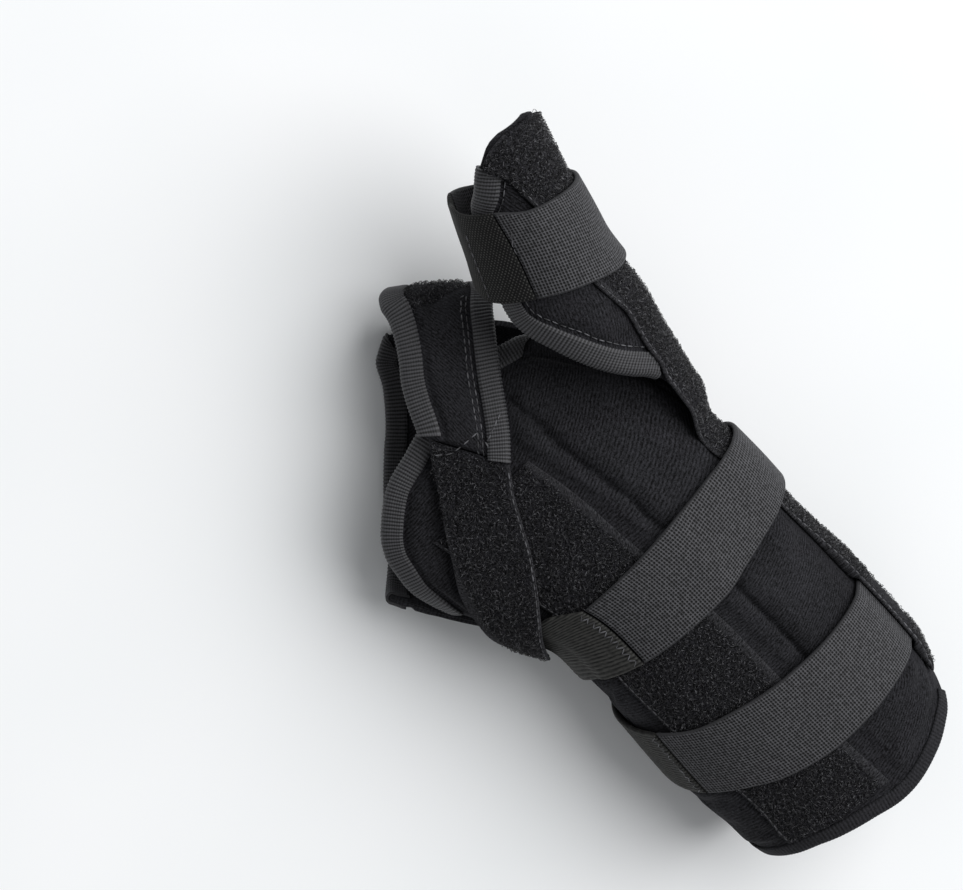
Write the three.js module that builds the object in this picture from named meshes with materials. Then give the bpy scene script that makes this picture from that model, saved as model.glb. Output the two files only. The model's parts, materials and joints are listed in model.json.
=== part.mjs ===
import * as THREE from 'three';

// A wrist and thumb orthosis for the right hand, fastened, lying on its dorsal side with the palm side up.
// +X runs to the elbow, +Y to the thumb and +Z out of the palm. Lengths are in millimetres.
// Angles are in degrees round a section: 0 thumb side, 90 palm side, 180 little-finger side, 270 back.

const GAP = 0.3;
const HEM_GAP = 0.5;
const PANEL_THICK = 3.2;
const COVER_THICK = 2.4;
const PILE_THICK = 1.8;
const STRAP_PAD_THICK = 2.6;
const WEBBING_THICK = 1.4;
const TAPE_THICK = 0.7;
const TAPE_WIDTH = 5.5;
const END_TAPE_WIDTH = 4;

const FOREARM_END_X = 28;
const FOREARM_END_Z = 23.8;
const BEND_START = 80;
const BEND_END = 130;
const ULNAR_DEVIATION = 28;
const WRIST_EXTENSION = 18;
const FOREARM_PITCH = 4.3;
const SECTION_POWER = 2.3;
const THUMB_BLEND = 6;
const THUMB_LIFT = 1.6;
const THUMB_FRONT = new THREE.Vector3(-0.235, -0.086, 0.968);
const DORSAL_FLARE = 2;
const DORSAL_RIM_RISE = 2.6;

const KNIT = { color: 0x1b1b1d, roughness: 0.95, metalness: 0 };
const PILE = { color: 0x262628, roughness: 1, metalness: 0 };
const WEBBING = { color: 0x3b3b3d, roughness: 0.8, metalness: 0 };
const TAPE = { color: 0x303032, roughness: 0.85, metalness: 0 };

function table(columns, rows) {
  const names = columns.split(' ');
  return rows.map((row) => Object.fromEntries(names.map((name, i) => [name, row[i]])));
}

// Half widths and half depths of the sleeve's outer face, from the forearm end to the fingers.
const SLEEVE = table('along radial ulnar volar dorsal', [
  [0, 35, 38, 27.5, 21.6],
  [6, 35.5, 39, 27.5, 23.4],
  [12, 36, 39.8, 27.5, 26.2],
  [35, 37, 40.8, 27.3, 28.8],
  [60, 37, 39.5, 26, 27],
  [90, 38, 38.3, 24, 23.5],
  [115, 42, 40, 22, 21.5],
  [135, 45.5, 41, 20.5, 21.8],
  [150, 46.5, 41.5, 19.5, 22.2],
  [158, 45.5, 41.5, 18.9, 21.3],
  [166, 43.8, 41.5, 18.4, 18.4],
  [175, 40.6, 41.5, 18, 15],
  [195, 32, 41, 17.5, 9.4],
]);

// Middle line of the thumb from inside the wrist to beyond the tip.
const THUMB_LINE = table('x y z', [
  [-64, 16, 31.2],
  [-93, 19, 34.7],
  [-113, 21, 39.7],
  [-134, 26, 46.2],
  [-156.5, 32, 52.2],
  [-172, 35.5, 55.2],
  [-188, 40, 59.2],
  [-202.5, 45, 62.2],
]);

// Room for the thumb: half widths away from the palm and towards it, and half depth.
const THUMB_ROOM = table('along outer inner depth', [
  [0, 13, 13, 13],
  [30, 19, 17, 17],
  [48, 20.5, 16.5, 17],
  [65, 20, 15.8, 16.5],
  [80, 17.5, 15.2, 15.4],
  [92, 15.4, 14.2, 14.8],
  [105, 15.2, 12, 14.4],
  [120, 15, 9.5, 14],
  [145, 14.4, 8, 13.5],
]);

// Cut edges of the two panels: the forearm end and the hand end at each angle.
const VOLAR_CUT = table('angle end hand', [
  [-2, 9, 99],
  [10, 8, 110],
  [20, 4.5, 128],
  [26, 2.5, 141],
  [31, 0.8, 146],
  [40, -1, 150],
  [48, -2, 154],
  [65, -4.5, 160.5],
  [87, -6.5, 166],
  [103, -4, 169],
  [122, -1.5, 167],
  [134, 0, 164],
  [145, 0.5, 159],
  [156, 1, 154],
  [166, 1.2, 147],
  [176.7, 1.2, 140],
]);
const DORSAL_CUT = table('angle end hand', [
  [177.2, 1.2, 160],
  [200, 1.2, 161],
  [225, 1, 163.5],
  [250, 1, 169.5],
  [270, 1, 174],
  [290, 2, 179],
  [305, 3, 183],
  [318, 4.5, 183],
  [328, 6, 175],
  [336, 7, 158],
  [345, 8, 130],
  [352, 8.6, 110],
  [357.4, 9, 101],
]);

// The loop panel's two long edges, the one towards the thumb and the one towards the little finger.
const PALM_STRIP = table('run thumbAngle thumbAlong littleAngle littleAlong', [
  [0, 90, 1, 143, 5.4],
  [20, 91, 21, 139, 22],
  [44, 92, 47, 142, 42],
  [64, 92, 66, 146, 62],
  [90, 94, 98, 148, 80],
  [106, 90, 113, 143, 99],
  [126, 85.5, 125, 132, 126],
  [145, 82.5, 134.5, 119, 153],
]);

// Straps: edge towards the elbow, edge towards the fingers and height of the underside above the sleeve.
const WRIST_STRAP = table('angle low high level', [
  [-75, 80, 97, 0.5],
  [-50, 81, 96.7, 0.7],
  [-40, 81, 96.5, 2.6],
  [30, 80, 96, 2.6],
  [44, 79.5, 96.3, 2.6],
  [58, 78.8, 96.8, 1.7],
  [72, 77.8, 97.3, 1.6],
  [88, 76.5, 98.2, 2.6],
  [108, 77, 100, 2.6],
  [127, 78, 102.5, 2.6],
]);
const WRIST_TAB = table('angle low high level', [
  [128, 78, 102.8, 2.6],
  [133, 78.5, 107, 2.6],
  [140, 79, 113, 2.6],
  [149, 79.7, 115.5, 2.6],
  [160, 80, 116, 1],
  [180, 79, 114, 0.9],
  [215, 78, 110, 0.9],
]);
const FOREARM_STRAP = table('angle low high level', [
  [6, 20, 45, 0.35],
  [28, 20, 45, 0.4],
  [42, 20, 45, 1.6],
  [67, 20, 45.5, 2],
  [88, 20.5, 47, 2.6],
  [116, 25, 51, 2.6],
  [130, 29, 53, 2.6],
  [150, 34, 58, 2.6],
]);
const FOREARM_TAB = table('angle low high level', [
  [151, 34.2, 58.2, 2.6],
  [160, 35, 59, 1.4],
  [174, 36.5, 60.5, 0.8],
  [190, 38, 62, 0.7],
  [215, 40, 64, 0.7],
]);
const WEB_STRAP = table('angle low high level', [
  [-3, 160, 187.5, 4.5],
  [12, 158.5, 188.5, 4.5],
  [24, 157.5, 187, 4],
  [35, 155.5, 183, 3.4],
  [48, 152.5, 179, 2.9],
  [58, 149.5, 176.3, 2.8],
  [68, 145.8, 173.7, 2.8],
  [76, 142.7, 170.3, 2.8],
  [85, 139.8, 164.8, 2.8],
]);
const WEB_ROOT = table('angle low high level', [
  [-45, 157, 171, 0.35],
  [-40.5, 159.5, 174, 0.4],
  [-36, 161.5, 180, 1.35],
  [-30, 163, 184, 1.35],
  [10, 162, 184, 1.35],
]);
const WEB_TAIL = table('angle low high level', [
  [86, 138.8, 162.5, 2.9],
  [100, 131, 155, 2.9],
  [111, 125.5, 151, 2.9],
  [124, 120.5, 146, 3.4],
  [138, 115.2, 141.2, 4.6],
  [152, 109.5, 134.5, 4.6],
  [165, 102, 129, 4.4],
  [178, 95, 122, 4.2],
  [192, 92, 118, 4.2],
]);

// Thumb cover: its back and front edges at each place along the thumb.
const COVER_CUT = table('along back front', [
  [32, -50, 30],
  [46, -55, 44],
  [54, -58, 60],
  [63, -64, 84],
  [69, -72, 101],
  [75, -80, 119],
  [79, -85, 132],
  [83, -88, 140.5],
  [88, -93, 144],
  [98, -95, 143],
  [110, -88, 137],
  [117, -76, 129],
  [121, -62, 116],
  [127, -30, 102],
  [130, -8, 92],
  [132.6, 10, 81],
  [134, 24, 66],
]);
const THUMB_STRIP_CUT = table('along back front', [
  [8, -36, 40],
  [16, -35, 44],
  [32, -33, 44],
  [43, -32, 45],
  [52, -33, 41],
  [69, -35, 42],
  [77, -39, 48],
  [84, -45, 55],
  [112, -60, 72],
  [119, -52, 77],
  [123, -40, 82],
  [126, -27, 90],
  [128, -14, 93],
  [129.6, -3, 92.5],
  [132.4, 16, 79],
  [133.6, 28, 65],
]);
const THUMB_STRAP = table('angle low high level', [
  [-154, 93, 119.5, 2.8],
  [-125, 88, 115, 2.9],
  [-100, 85, 112, 3.2],
  [-84, 83.5, 110.5, 4.9],
  [-20, 81, 107, 4.9],
  [20, 82, 108, 4.9],
  [60, 85.5, 110.5, 4.9],
  [78, 87, 112, 4.9],
  [104.5, 88.7, 116, 4.2],
  [148, 90, 117, 4],
  [168, 91, 118.5, 3.2],
  [180, 91.5, 118, 3],
  [205, 93, 119.5, 2.8],
]);

const RADIAL_STRIP_FROM = 9.6;
const RADIAL_STRIP_TO = 87;
const RADIAL_STRIP_BACK = -38;
const RADIAL_STRIP_FRONT = 28;
const RADIAL_STRIP_WIDENS = 5;

// Smooth value of one column of a table.
function read(rows, key, column, at) {
  const last = rows.length - 1;
  const slope = (i) => (rows[i + 1][column] - rows[i][column]) / (rows[i + 1][key] - rows[i][key]);
  const grade = (i) => {
    if (i === 0) return slope(0);
    if (i === last) return slope(last - 1);
    const before = slope(i - 1);
    const after = slope(i);
    return before * after <= 0 ? 0 : (2 * before * after) / (before + after);
  };
  let i = 0;
  while (i < last - 1 && at >= rows[i + 1][key]) i += 1;
  const span = rows[i + 1][key] - rows[i][key];
  const t = THREE.MathUtils.clamp((at - rows[i][key]) / span, 0, 1);
  const rest = 1 - t;
  const ends = (1 + 2 * t) * rest * rest * rows[i][column] + t * t * (3 - 2 * t) * rows[i + 1][column];
  return ends + t * rest * span * (rest * grade(i) - t * grade(i + 1));
}

const { degToRad, smoothstep, clamp } = THREE.MathUtils;
const UP = new THREE.Vector3(0, 0, 1);
const LINE_FIRST = -30;
const LINE_LAST = 230;

// Middle line of the sleeve: straight along the forearm, then bent to the little finger and to the back.
function traceLine() {
  const line = [];
  const place = new THREE.Vector3();
  for (let along = LINE_FIRST; along <= LINE_LAST; along += 1) {
    const turn = degToRad(ULNAR_DEVIATION * smoothstep(along, BEND_START, BEND_END));
    const drop = WRIST_EXTENSION * smoothstep(along, BEND_START - 5, BEND_END - 5);
    const pitch = degToRad(FOREARM_PITCH - drop);
    const course = new THREE.Vector3(
      -Math.cos(turn) * Math.cos(pitch),
      -Math.sin(turn) * Math.cos(pitch),
      Math.sin(pitch),
    );
    if (line.length) place.addScaledVector(line[line.length - 1].course, 0.5).addScaledVector(course, 0.5);
    line.push({ place: place.clone(), course });
  }
  const start = new THREE.Vector3(FOREARM_END_X, 0, FOREARM_END_Z).sub(line[-LINE_FIRST].place);
  line.forEach((station) => station.place.add(start));
  return line;
}
const LINE = traceLine();

function sleeveFrame(along) {
  const at = clamp(along - LINE_FIRST, 0, LINE.length - 1.001);
  const i = Math.floor(at);
  const place = LINE[i].place.clone().lerp(LINE[i + 1].place, at - i);
  const course = LINE[i].course.clone().lerp(LINE[i + 1].course, at - i).normalize();
  const side = new THREE.Vector3().crossVectors(course, UP).normalize();
  const up = new THREE.Vector3().crossVectors(side, course);
  return { place, course, side, up };
}

function sleeveHalves(along, y, z) {
  return [
    read(SLEEVE, 'along', y >= 0 ? 'radial' : 'ulnar', along),
    read(SLEEVE, 'along', z >= 0 ? 'volar' : 'dorsal', along),
  ];
}

// Point of the sleeve at a height above its outer face, pressed flat where it rests.
function onSleeve(angle, along, height) {
  const { place, side, up } = sleeveFrame(along);
  const c = Math.cos(degToRad(angle));
  const s = Math.sin(degToRad(angle));
  const [a, b] = sleeveHalves(along, c, s);
  const round = (value) => Math.sign(value) * Math.abs(value) ** (2 / SECTION_POWER);
  const lean = (value) => Math.sign(value) * Math.abs(value) ** (SECTION_POWER - 1);
  const out = new THREE.Vector2(lean(round(c)) / a, lean(round(s)) / b).normalize();
  const point = place.clone();
  point.addScaledVector(side, a * round(c) + height * out.x);
  point.addScaledVector(up, b * round(s) + height * out.y);
  if (height <= 0) point.z = Math.max(point.z, -height);
  return point;
}

// Height of any point above the sleeve's outer face.
function sleeveHeight(point) {
  let along = 0;
  let nearest = Infinity;
  for (let i = 0; i < LINE.length; i += 6) {
    const distance = LINE[i].place.distanceToSquared(point);
    if (distance < nearest) {
      nearest = distance;
      along = i + LINE_FIRST;
    }
  }
  for (let turn = 0; turn < 3; turn += 1) {
    const { place, course } = sleeveFrame(along);
    along += 0.9 * point.clone().sub(place).dot(course);
  }
  const { place, side, up } = sleeveFrame(along);
  const away = point.clone().sub(place);
  const y = away.dot(side);
  const z = away.dot(up);
  const [a, b] = sleeveHalves(along, y, z);
  const u = Math.abs(y / a);
  const v = Math.abs(z / b);
  const reach = Math.max(u ** SECTION_POWER + v ** SECTION_POWER, 1e-9) ** (1 / SECTION_POWER);
  const fall = reach ** (1 - SECTION_POWER);
  const steep = Math.hypot((fall * u ** (SECTION_POWER - 1)) / a, (fall * v ** (SECTION_POWER - 1)) / b);
  return (reach - 1) / Math.max(steep, 1e-6);
}

function thumbRun() {
  let along = 0;
  return THUMB_LINE.map((row, i) => {
    const before = THUMB_LINE[Math.max(i - 1, 0)];
    along += Math.hypot(row.x - before.x, row.y - before.y, row.z - before.z);
    return { ...row, along };
  });
}
const THUMB_RUN = thumbRun();

function thumbPlace(along) {
  return new THREE.Vector3(...['x', 'y', 'z'].map((axis) => read(THUMB_RUN, 'along', axis, along)));
}

function thumbRay(angle, along) {
  const course = thumbPlace(along + 0.5).sub(thumbPlace(along - 0.5)).normalize();
  const front = THUMB_FRONT.clone().addScaledVector(course, -THUMB_FRONT.dot(course)).normalize();
  const side = new THREE.Vector3().crossVectors(course, front);
  const c = Math.cos(degToRad(angle));
  const s = Math.sin(degToRad(angle));
  const width = read(THUMB_ROOM, 'along', c >= 0 ? 'outer' : 'inner', along);
  const depth = read(THUMB_ROOM, 'along', 'depth', along);
  return {
    start: thumbPlace(along),
    heading: side.multiplyScalar(c).addScaledVector(front, s),
    reach: 1 / Math.hypot(c / width, s / depth),
  };
}

// Point of the round of the thumb itself.
function onThumb(angle, along, height) {
  const { start, heading, reach } = thumbRay(angle, along);
  return start.addScaledVector(heading, reach + height);
}

// Distance along a ray at which it comes out of the sleeve.
function leavesSleeve(start, heading, height) {
  const above = (reach) => sleeveHeight(start.clone().addScaledVector(heading, reach)) - height;
  let outer = 72;
  while (outer > 0 && above(outer - 2) > 0) outer -= 2;
  if (outer <= 0) return -50;
  let inner = outer - 2;
  for (let turn = 0; turn < 18; turn += 1) {
    const middle = (inner + outer) / 2;
    if (above(middle) > 0) outer = middle;
    else inner = middle;
  }
  return outer;
}

// Point of the thumb and the sleeve taken together, with a rounded valley between them.
function onThumbBase(angle, along, height) {
  const { start, heading, reach } = thumbRay(angle, along);
  const own = reach + height;
  const other = leavesSleeve(start, heading, height + THUMB_LIFT);
  const share = clamp(0.5 + (0.5 * (own - other)) / THUMB_BLEND, 0, 1);
  const blend = other * (1 - share) + own * share + THUMB_BLEND * share * (1 - share);
  return start.addScaledVector(heading, blend);
}

function solid(name, points, faces, look) {
  const turned = (a, b, c) => points[a].dot(new THREE.Vector3().crossVectors(points[b], points[c]));
  const volume = faces.reduce((sum, face) => sum + turned(...face), 0);
  const order = volume < 0 ? faces.map(([a, b, c]) => [a, c, b]) : faces;
  const geometry = new THREE.BufferGeometry().setFromPoints(points);
  geometry.setIndex(order.flat());
  geometry.computeVertexNormals();
  const mesh = new THREE.Mesh(geometry, new THREE.MeshStandardMaterial({ ...look, flatShading: true }));
  mesh.name = name;
  return mesh;
}

function quad(a, b, c, d) {
  return [[a, b, c], [a, c, d]];
}

// Even stations from one value to another, no further apart than a step.
function spread(from, to, step) {
  const count = Math.ceil(Math.abs(to - from) / step);
  return Array.from({ length: count + 1 }, (_, i) => from + ((to - from) * i) / count);
}

// A layer of cloth on a surface between two edges, closed all round.
function layer(name, look, { on, stations, edges, rows, under, over, hems = [0, 0] }) {
  const points = [];
  const faces = [];
  const share = (j, length) => {
    const [first, last] = hems.map((hem) => (hem ? hem / length : 1 / rows));
    if (j === 0 || j === rows) return j / rows;
    return first + ((1 - first - last) * (j - 1)) / (rows - 2);
  };
  stations.forEach((station) => {
    const [angle0, along0, angle1, along1] = edges(station);
    for (let j = 0; j <= rows; j += 1) {
      const part = share(j, Math.max(Math.abs(angle1 - angle0), Math.abs(along1 - along0)));
      const angle = angle0 + (angle1 - angle0) * part;
      const along = along0 + (along1 - along0) * part;
      points.push(on(angle, along, over(angle, along)), on(angle, along, under(angle, along)));
    }
  });
  const at = (i, j, face) => 2 * (i * (rows + 1) + j) + face;
  const ends = stations.length - 1;
  for (let i = 0; i < ends; i += 1) {
    for (let j = 0; j < rows; j += 1) {
      faces.push(...quad(at(i, j, 0), at(i + 1, j, 0), at(i + 1, j + 1, 0), at(i, j + 1, 0)));
      faces.push(...quad(at(i, j, 1), at(i, j + 1, 1), at(i + 1, j + 1, 1), at(i + 1, j, 1)));
    }
    faces.push(...quad(at(i, 0, 0), at(i, 0, 1), at(i + 1, 0, 1), at(i + 1, 0, 0)));
    faces.push(...quad(at(i, rows, 0), at(i + 1, rows, 0), at(i + 1, rows, 1), at(i, rows, 1)));
  }
  for (let j = 0; j < rows; j += 1) {
    faces.push(...quad(at(0, j, 0), at(0, j + 1, 0), at(0, j + 1, 1), at(0, j, 1)));
    faces.push(...quad(at(ends, j, 0), at(ends, j, 1), at(ends, j + 1, 1), at(ends, j + 1, 0)));
  }
  return solid(name, points, faces, look);
}

// Direction on a surface, as angle and along per millimetre, square to an edge and into the cloth.
function inward(on, edge, station, other) {
  const [angle, along] = edge(station);
  const base = on(angle, along, 0);
  const byAngle = on(angle + 0.5, along, 0).sub(on(angle - 0.5, along, 0));
  const byAlong = on(angle, along + 0.5, 0).sub(on(angle, along - 0.5, 0));
  const [angle0, along0] = edge(station - 0.2);
  const [angle1, along1] = edge(station + 0.2);
  const run = on(angle1, along1, 0).sub(on(angle0, along0, 0)).normalize();
  const face = new THREE.Vector3().crossVectors(byAngle, byAlong).normalize();
  const into = new THREE.Vector3().crossVectors(face, run);
  if (on(...other, 0).sub(base).dot(into) < 0) into.negate();
  const aa = byAngle.lengthSq();
  const ab = byAngle.dot(byAlong);
  const bb = byAlong.lengthSq();
  const pa = into.dot(byAngle);
  const pb = into.dot(byAlong);
  const whole = aa * bb - ab * ab;
  return [(pa * bb - pb * ab) / whole, (pb * aa - pa * ab) / whole];
}

// Tape folded over an edge of a layer.
function binding(name, { on, edges, under, over }, stations, atEnd, width, gap = GAP, depths = [1]) {
  const points = [];
  const faces = [];
  const edge = (station) => (atEnd ? edges(station).slice(2) : edges(station).slice(0, 2));
  const other = (station) => {
    const [angle0, along0, angle1, along1] = edges(station);
    const share = atEnd ? 0.9 : 0.1;
    return [angle0 + (angle1 - angle0) * share, along0 + (along1 - along0) * share];
  };
  const out = -gap - TAPE_THICK;
  const leg = depths.map((depth) => depth * width);
  const back = [...leg].reverse();
  const profile = [
    ...[...leg, out].map((depth) => [depth, over, -out]),
    ...[out, ...back].map((depth) => [depth, under, out]),
    ...[...leg, -gap].map((depth) => [depth, under, -gap]),
    ...[-gap, ...back].map((depth) => [depth, over, gap]),
  ];
  const round = profile.length;
  stations.forEach((station) => {
    const [angle, along] = edge(station);
    const [angleIn, alongIn] = inward(on, edge, station, other(station));
    profile.forEach(([depth, face, rise]) => {
      const angleAt = angle + angleIn * depth;
      const alongAt = along + alongIn * depth;
      const height = depth > 0 ? face(angleAt, alongAt) : face(angle, along);
      points.push(on(angleAt, alongAt, height + rise));
    });
  });
  const ends = stations.length - 1;
  for (let i = 0; i < ends; i += 1) {
    for (let k = 0; k < round; k += 1) {
      const next = (k + 1) % round;
      faces.push(...quad(round * i + k, round * i + next, round * (i + 1) + next, round * (i + 1) + k));
    }
  }
  const last = round * ends;
  for (let k = 0; k < round / 2 - 1; k += 1) {
    const [a, b, c, d] = [k, k + 1, round - 2 - k, round - 1 - k];
    faces.push(...quad(d, c, b, a), ...quad(last + a, last + b, last + c, last + d));
  }
  return solid(name, points, faces, TAPE);
}

// Layout of a strap from its table.
function strap(rows, thick, step, across) {
  const level = (angle) => read(rows, 'angle', 'level', angle);
  return {
    on: onSleeve,
    stations: spread(rows[0].angle, rows[rows.length - 1].angle, step),
    edges: (angle) => [
      angle, read(rows, 'angle', 'low', angle),
      angle, read(rows, 'angle', 'high', angle),
    ],
    rows: across,
    under: level,
    over: (angle) => level(angle) + thick,
  };
}

function panel(rows, lift) {
  return {
    on: onSleeve,
    stations: spread(rows[0].angle, rows[rows.length - 1].angle, 8),
    edges: (angle) => [
      angle, read(rows, 'angle', 'end', angle),
      angle, read(rows, 'angle', 'hand', angle),
    ],
    rows: 14,
    under: (angle, along) => lift(angle, along) - PANEL_THICK,
    over: lift,
    hems: [END_TAPE_WIDTH, TAPE_WIDTH],
  };
}

// The back panel stands out a little at its knuckle corner on the little-finger side, and its hand edge
// is raised so that the tape there clears what the panel rests on.
function dorsalLift(angle, along) {
  const flare = DORSAL_FLARE * smoothstep(along, 105, 150) * (1 - smoothstep(angle, 195, 235));
  const toEdge = read(DORSAL_CUT, 'angle', 'hand', angle) - along;
  const low = smoothstep(angle, 200, 240) * (1 - smoothstep(angle, 300, 325));
  return flare - DORSAL_RIM_RISE * low * (1 - smoothstep(toEdge, 7, 18));
}

function alongThumb(rows, on, stations, across, under, thick) {
  return {
    on,
    stations,
    edges: (along) => [
      read(rows, 'along', 'back', along), along,
      read(rows, 'along', 'front', along), along,
    ],
    rows: across,
    under: (angle, along) => under(along),
    over: (angle, along) => under(along) + thick,
  };
}

const radialStripLevel = (angle, along) => {
  const overStrap = smoothstep(along, 10, 19) - smoothstep(along, 47, 58);
  return GAP + 0.05 + overStrap * (WEBBING_THICK + GAP + 0.1);
};
const RADIAL_STRIP = {
  on: onSleeve,
  stations: spread(RADIAL_STRIP_FROM, RADIAL_STRIP_TO, 5),
  edges: (along) => [
    RADIAL_STRIP_BACK, along,
    RADIAL_STRIP_FRONT + RADIAL_STRIP_WIDENS * smoothstep(along, 60, 90), along,
  ],
  rows: 8,
  under: radialStripLevel,
  over: (angle, along) => radialStripLevel(angle, along) + PILE_THICK,
};

const PALM_LOOP = {
  on: onSleeve,
  stations: spread(0, 145, 9),
  edges: (run) => ['thumbAngle', 'thumbAlong', 'littleAngle', 'littleAlong'].map(
    (column) => read(PALM_STRIP, 'run', column, run),
  ),
  rows: 7,
  under: () => GAP + 0.05,
  over: () => GAP + 0.05 + PILE_THICK,
};

const VOLAR = panel(VOLAR_CUT, () => 0);
const DORSAL = panel(DORSAL_CUT, dorsalLift);
const COVER = alongThumb(COVER_CUT, onThumbBase, [
  ...spread(32, 74, 6),
  ...spread(76, 86, 2.5),
  ...spread(90, 122, 5),
  ...spread(124, 134, 2.5),
], 17, () => 0, COVER_THICK);
const coverTop = COVER_THICK + GAP + 0.05;
const stripRise = (along) => {
  const low = GAP + 0.05 - THUMB_LIFT;
  return low + (coverTop - low) * smoothstep(along, 18, 31);
};
const THUMB_STRIP = alongThumb(THUMB_STRIP_CUT, onThumbBase, [
  ...spread(8, 120, 5),
  ...spread(122.4, 133.6, 2.3),
], 9, stripRise, PILE_THICK);

const thumbBand = { ...strap(THUMB_STRAP, WEBBING_THICK, 9, 3), on: onThumb };
const WEB = strap(WEB_STRAP, STRAP_PAD_THICK, 7, 4);
const within = (stations, from, to) => [from, ...stations.filter((s) => s > from + 1 && s < to - 1), to];

const part = new THREE.Group();
part.name = 'wrist_hand_orthosis';
part.add(
  layer('volar_panel', KNIT, VOLAR),
  layer('dorsal_panel', KNIT, DORSAL),
  binding('volar_edge_binding', VOLAR, within(VOLAR.stations, 41, 174.5), true, TAPE_WIDTH),
  binding('dorsal_edge_binding', DORSAL, within(DORSAL.stations, 177.7, 320), true, TAPE_WIDTH),
  binding('forearm_edge_binding_volar', VOLAR, within(VOLAR.stations, 29.5, 176.2), false, END_TAPE_WIDTH),
  binding('forearm_edge_binding_dorsal', DORSAL, within(DORSAL.stations, 178, 320), false, END_TAPE_WIDTH),
  layer('palm_loop_panel', PILE, PALM_LOOP),
  layer('radial_loop_strip', PILE, RADIAL_STRIP),
  layer('thumb_loop_strip', PILE, THUMB_STRIP),
  layer('thumb_cover', KNIT, COVER),
  binding('thumb_edge_binding', COVER, within(COVER.stations, 53, 126), true, TAPE_WIDTH, HEM_GAP, [1, 0.5]),
  layer('thumb_strap', WEBBING, { ...thumbBand, stations: spread(-154, 104.5, 9) }),
  layer('thumb_strap_hook_tab', WEBBING, { ...thumbBand, stations: spread(105.5, 205, 9) }),
  layer('web_strap', KNIT, WEB),
  binding('web_strap_binding_distal', WEB, WEB.stations, true, TAPE_WIDTH),
  binding('web_strap_binding_proximal', WEB, WEB.stations, false, TAPE_WIDTH),
  layer('web_strap_root', PILE, strap(WEB_ROOT, PILE_THICK, 5.2, 3)),
  layer('web_strap_tail', PILE, strap(WEB_TAIL, PILE_THICK, 6.5, 4)),
  layer('wrist_strap', WEBBING, strap(WRIST_STRAP, WEBBING_THICK, 7.5, 3)),
  layer('wrist_strap_hook_tab', WEBBING, strap(WRIST_TAB, WEBBING_THICK, 7.5, 4)),
  layer('forearm_strap', WEBBING, strap(FOREARM_STRAP, WEBBING_THICK, 7.5, 3)),
  layer('forearm_strap_hook_tab', WEBBING, strap(FOREARM_TAB, WEBBING_THICK, 7.5, 3)),
);

export default part;
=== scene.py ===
"""Looks of a wrist and thumb orthosis for the right hand, in padded knit, pile, webbing, tape and thread.

The orthosis lies on its back, palm side up. +X runs to the elbow, +Y to the thumb and +Z out of the palm.
Shapes are worked out in millimetres and made in metres. Angles are in degrees round a section:
0 thumb side, 90 palm side, 180 little-finger side, 270 back.
"""

import json
import math

import bpy
import numpy as np
from mathutils import Matrix
from mathutils.bvhtree import BVHTree

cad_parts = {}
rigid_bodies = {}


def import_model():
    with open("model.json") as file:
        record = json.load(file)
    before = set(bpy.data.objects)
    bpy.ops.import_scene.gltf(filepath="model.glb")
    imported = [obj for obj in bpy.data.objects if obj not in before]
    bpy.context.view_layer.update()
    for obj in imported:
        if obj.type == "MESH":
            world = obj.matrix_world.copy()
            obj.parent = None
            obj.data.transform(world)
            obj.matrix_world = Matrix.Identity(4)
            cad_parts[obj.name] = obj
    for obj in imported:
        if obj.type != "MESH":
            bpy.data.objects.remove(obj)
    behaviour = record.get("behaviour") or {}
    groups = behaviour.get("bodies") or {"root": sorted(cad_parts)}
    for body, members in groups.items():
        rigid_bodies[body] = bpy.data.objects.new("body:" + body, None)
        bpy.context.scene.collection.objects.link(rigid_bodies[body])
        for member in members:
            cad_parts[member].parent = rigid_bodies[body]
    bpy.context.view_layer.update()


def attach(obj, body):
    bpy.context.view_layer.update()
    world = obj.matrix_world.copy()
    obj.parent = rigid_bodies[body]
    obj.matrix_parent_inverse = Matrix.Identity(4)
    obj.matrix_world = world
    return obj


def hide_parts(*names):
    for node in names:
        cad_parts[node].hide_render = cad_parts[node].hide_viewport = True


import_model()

bl_info = {
    "name": "Wrist and thumb orthosis",
    "version": (1, 0, 0),
    "blender": (4, 5, 0),
    "location": "View3D > Sidebar > Orthosis",
    "description": "Builds the padded panels, loop pile, straps, tape and stitching of an orthosis",
    "category": "Add Mesh",
}

MM = 0.001
# Thicknesses, widths and gaps of the layers, in millimetres.
PANEL_THICK = 3.2
COVER_THICK = 2.4
PILE_GROUND = 0.9
STRAP_PAD_THICK = 2.6
WEBBING_THICK = 1.4
LAYER_GAP = 0.35
TAPE_WIDTH = 5.5
END_TAPE_WIDTH = 4.0
TAPE_THICK = 0.75
TAPE_GAP = 0.12
TAPE_SLANT_RUN = 24
SEAM_IN = 6.6
THUMB_PILE_END = 132.5
RADIAL_RISE = 1.8
THUMB_STRIP_LIFT = 0.65
# How far layers at the foot of the thumb cover stand off the sleeve, and the round of the valley there.
BASE_CLEAR = 1.6
VALLEY_ROUND = 6
# Bends of the sleeve's middle line in degrees, where it starts, and the power of its rounded sections.
WRIST_TURN = 28
FOREARM_PITCH = 4.3
WRIST_DROP = 18
LINE_START = (28, 0, 23.8)
SECTION_POWER = 2.3
# Width of the reference picture and the lens's focal length, both in its pixels.
PICTURE_WIDTH = 963
FOCAL_LENGTH = 3859.65


# Forms of the orthosis


def table(columns, *rows):
    """A table as one array for each named column."""
    values = np.array(rows, float)
    return {name: values[:, i] for i, name in enumerate(columns.split())}


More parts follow.
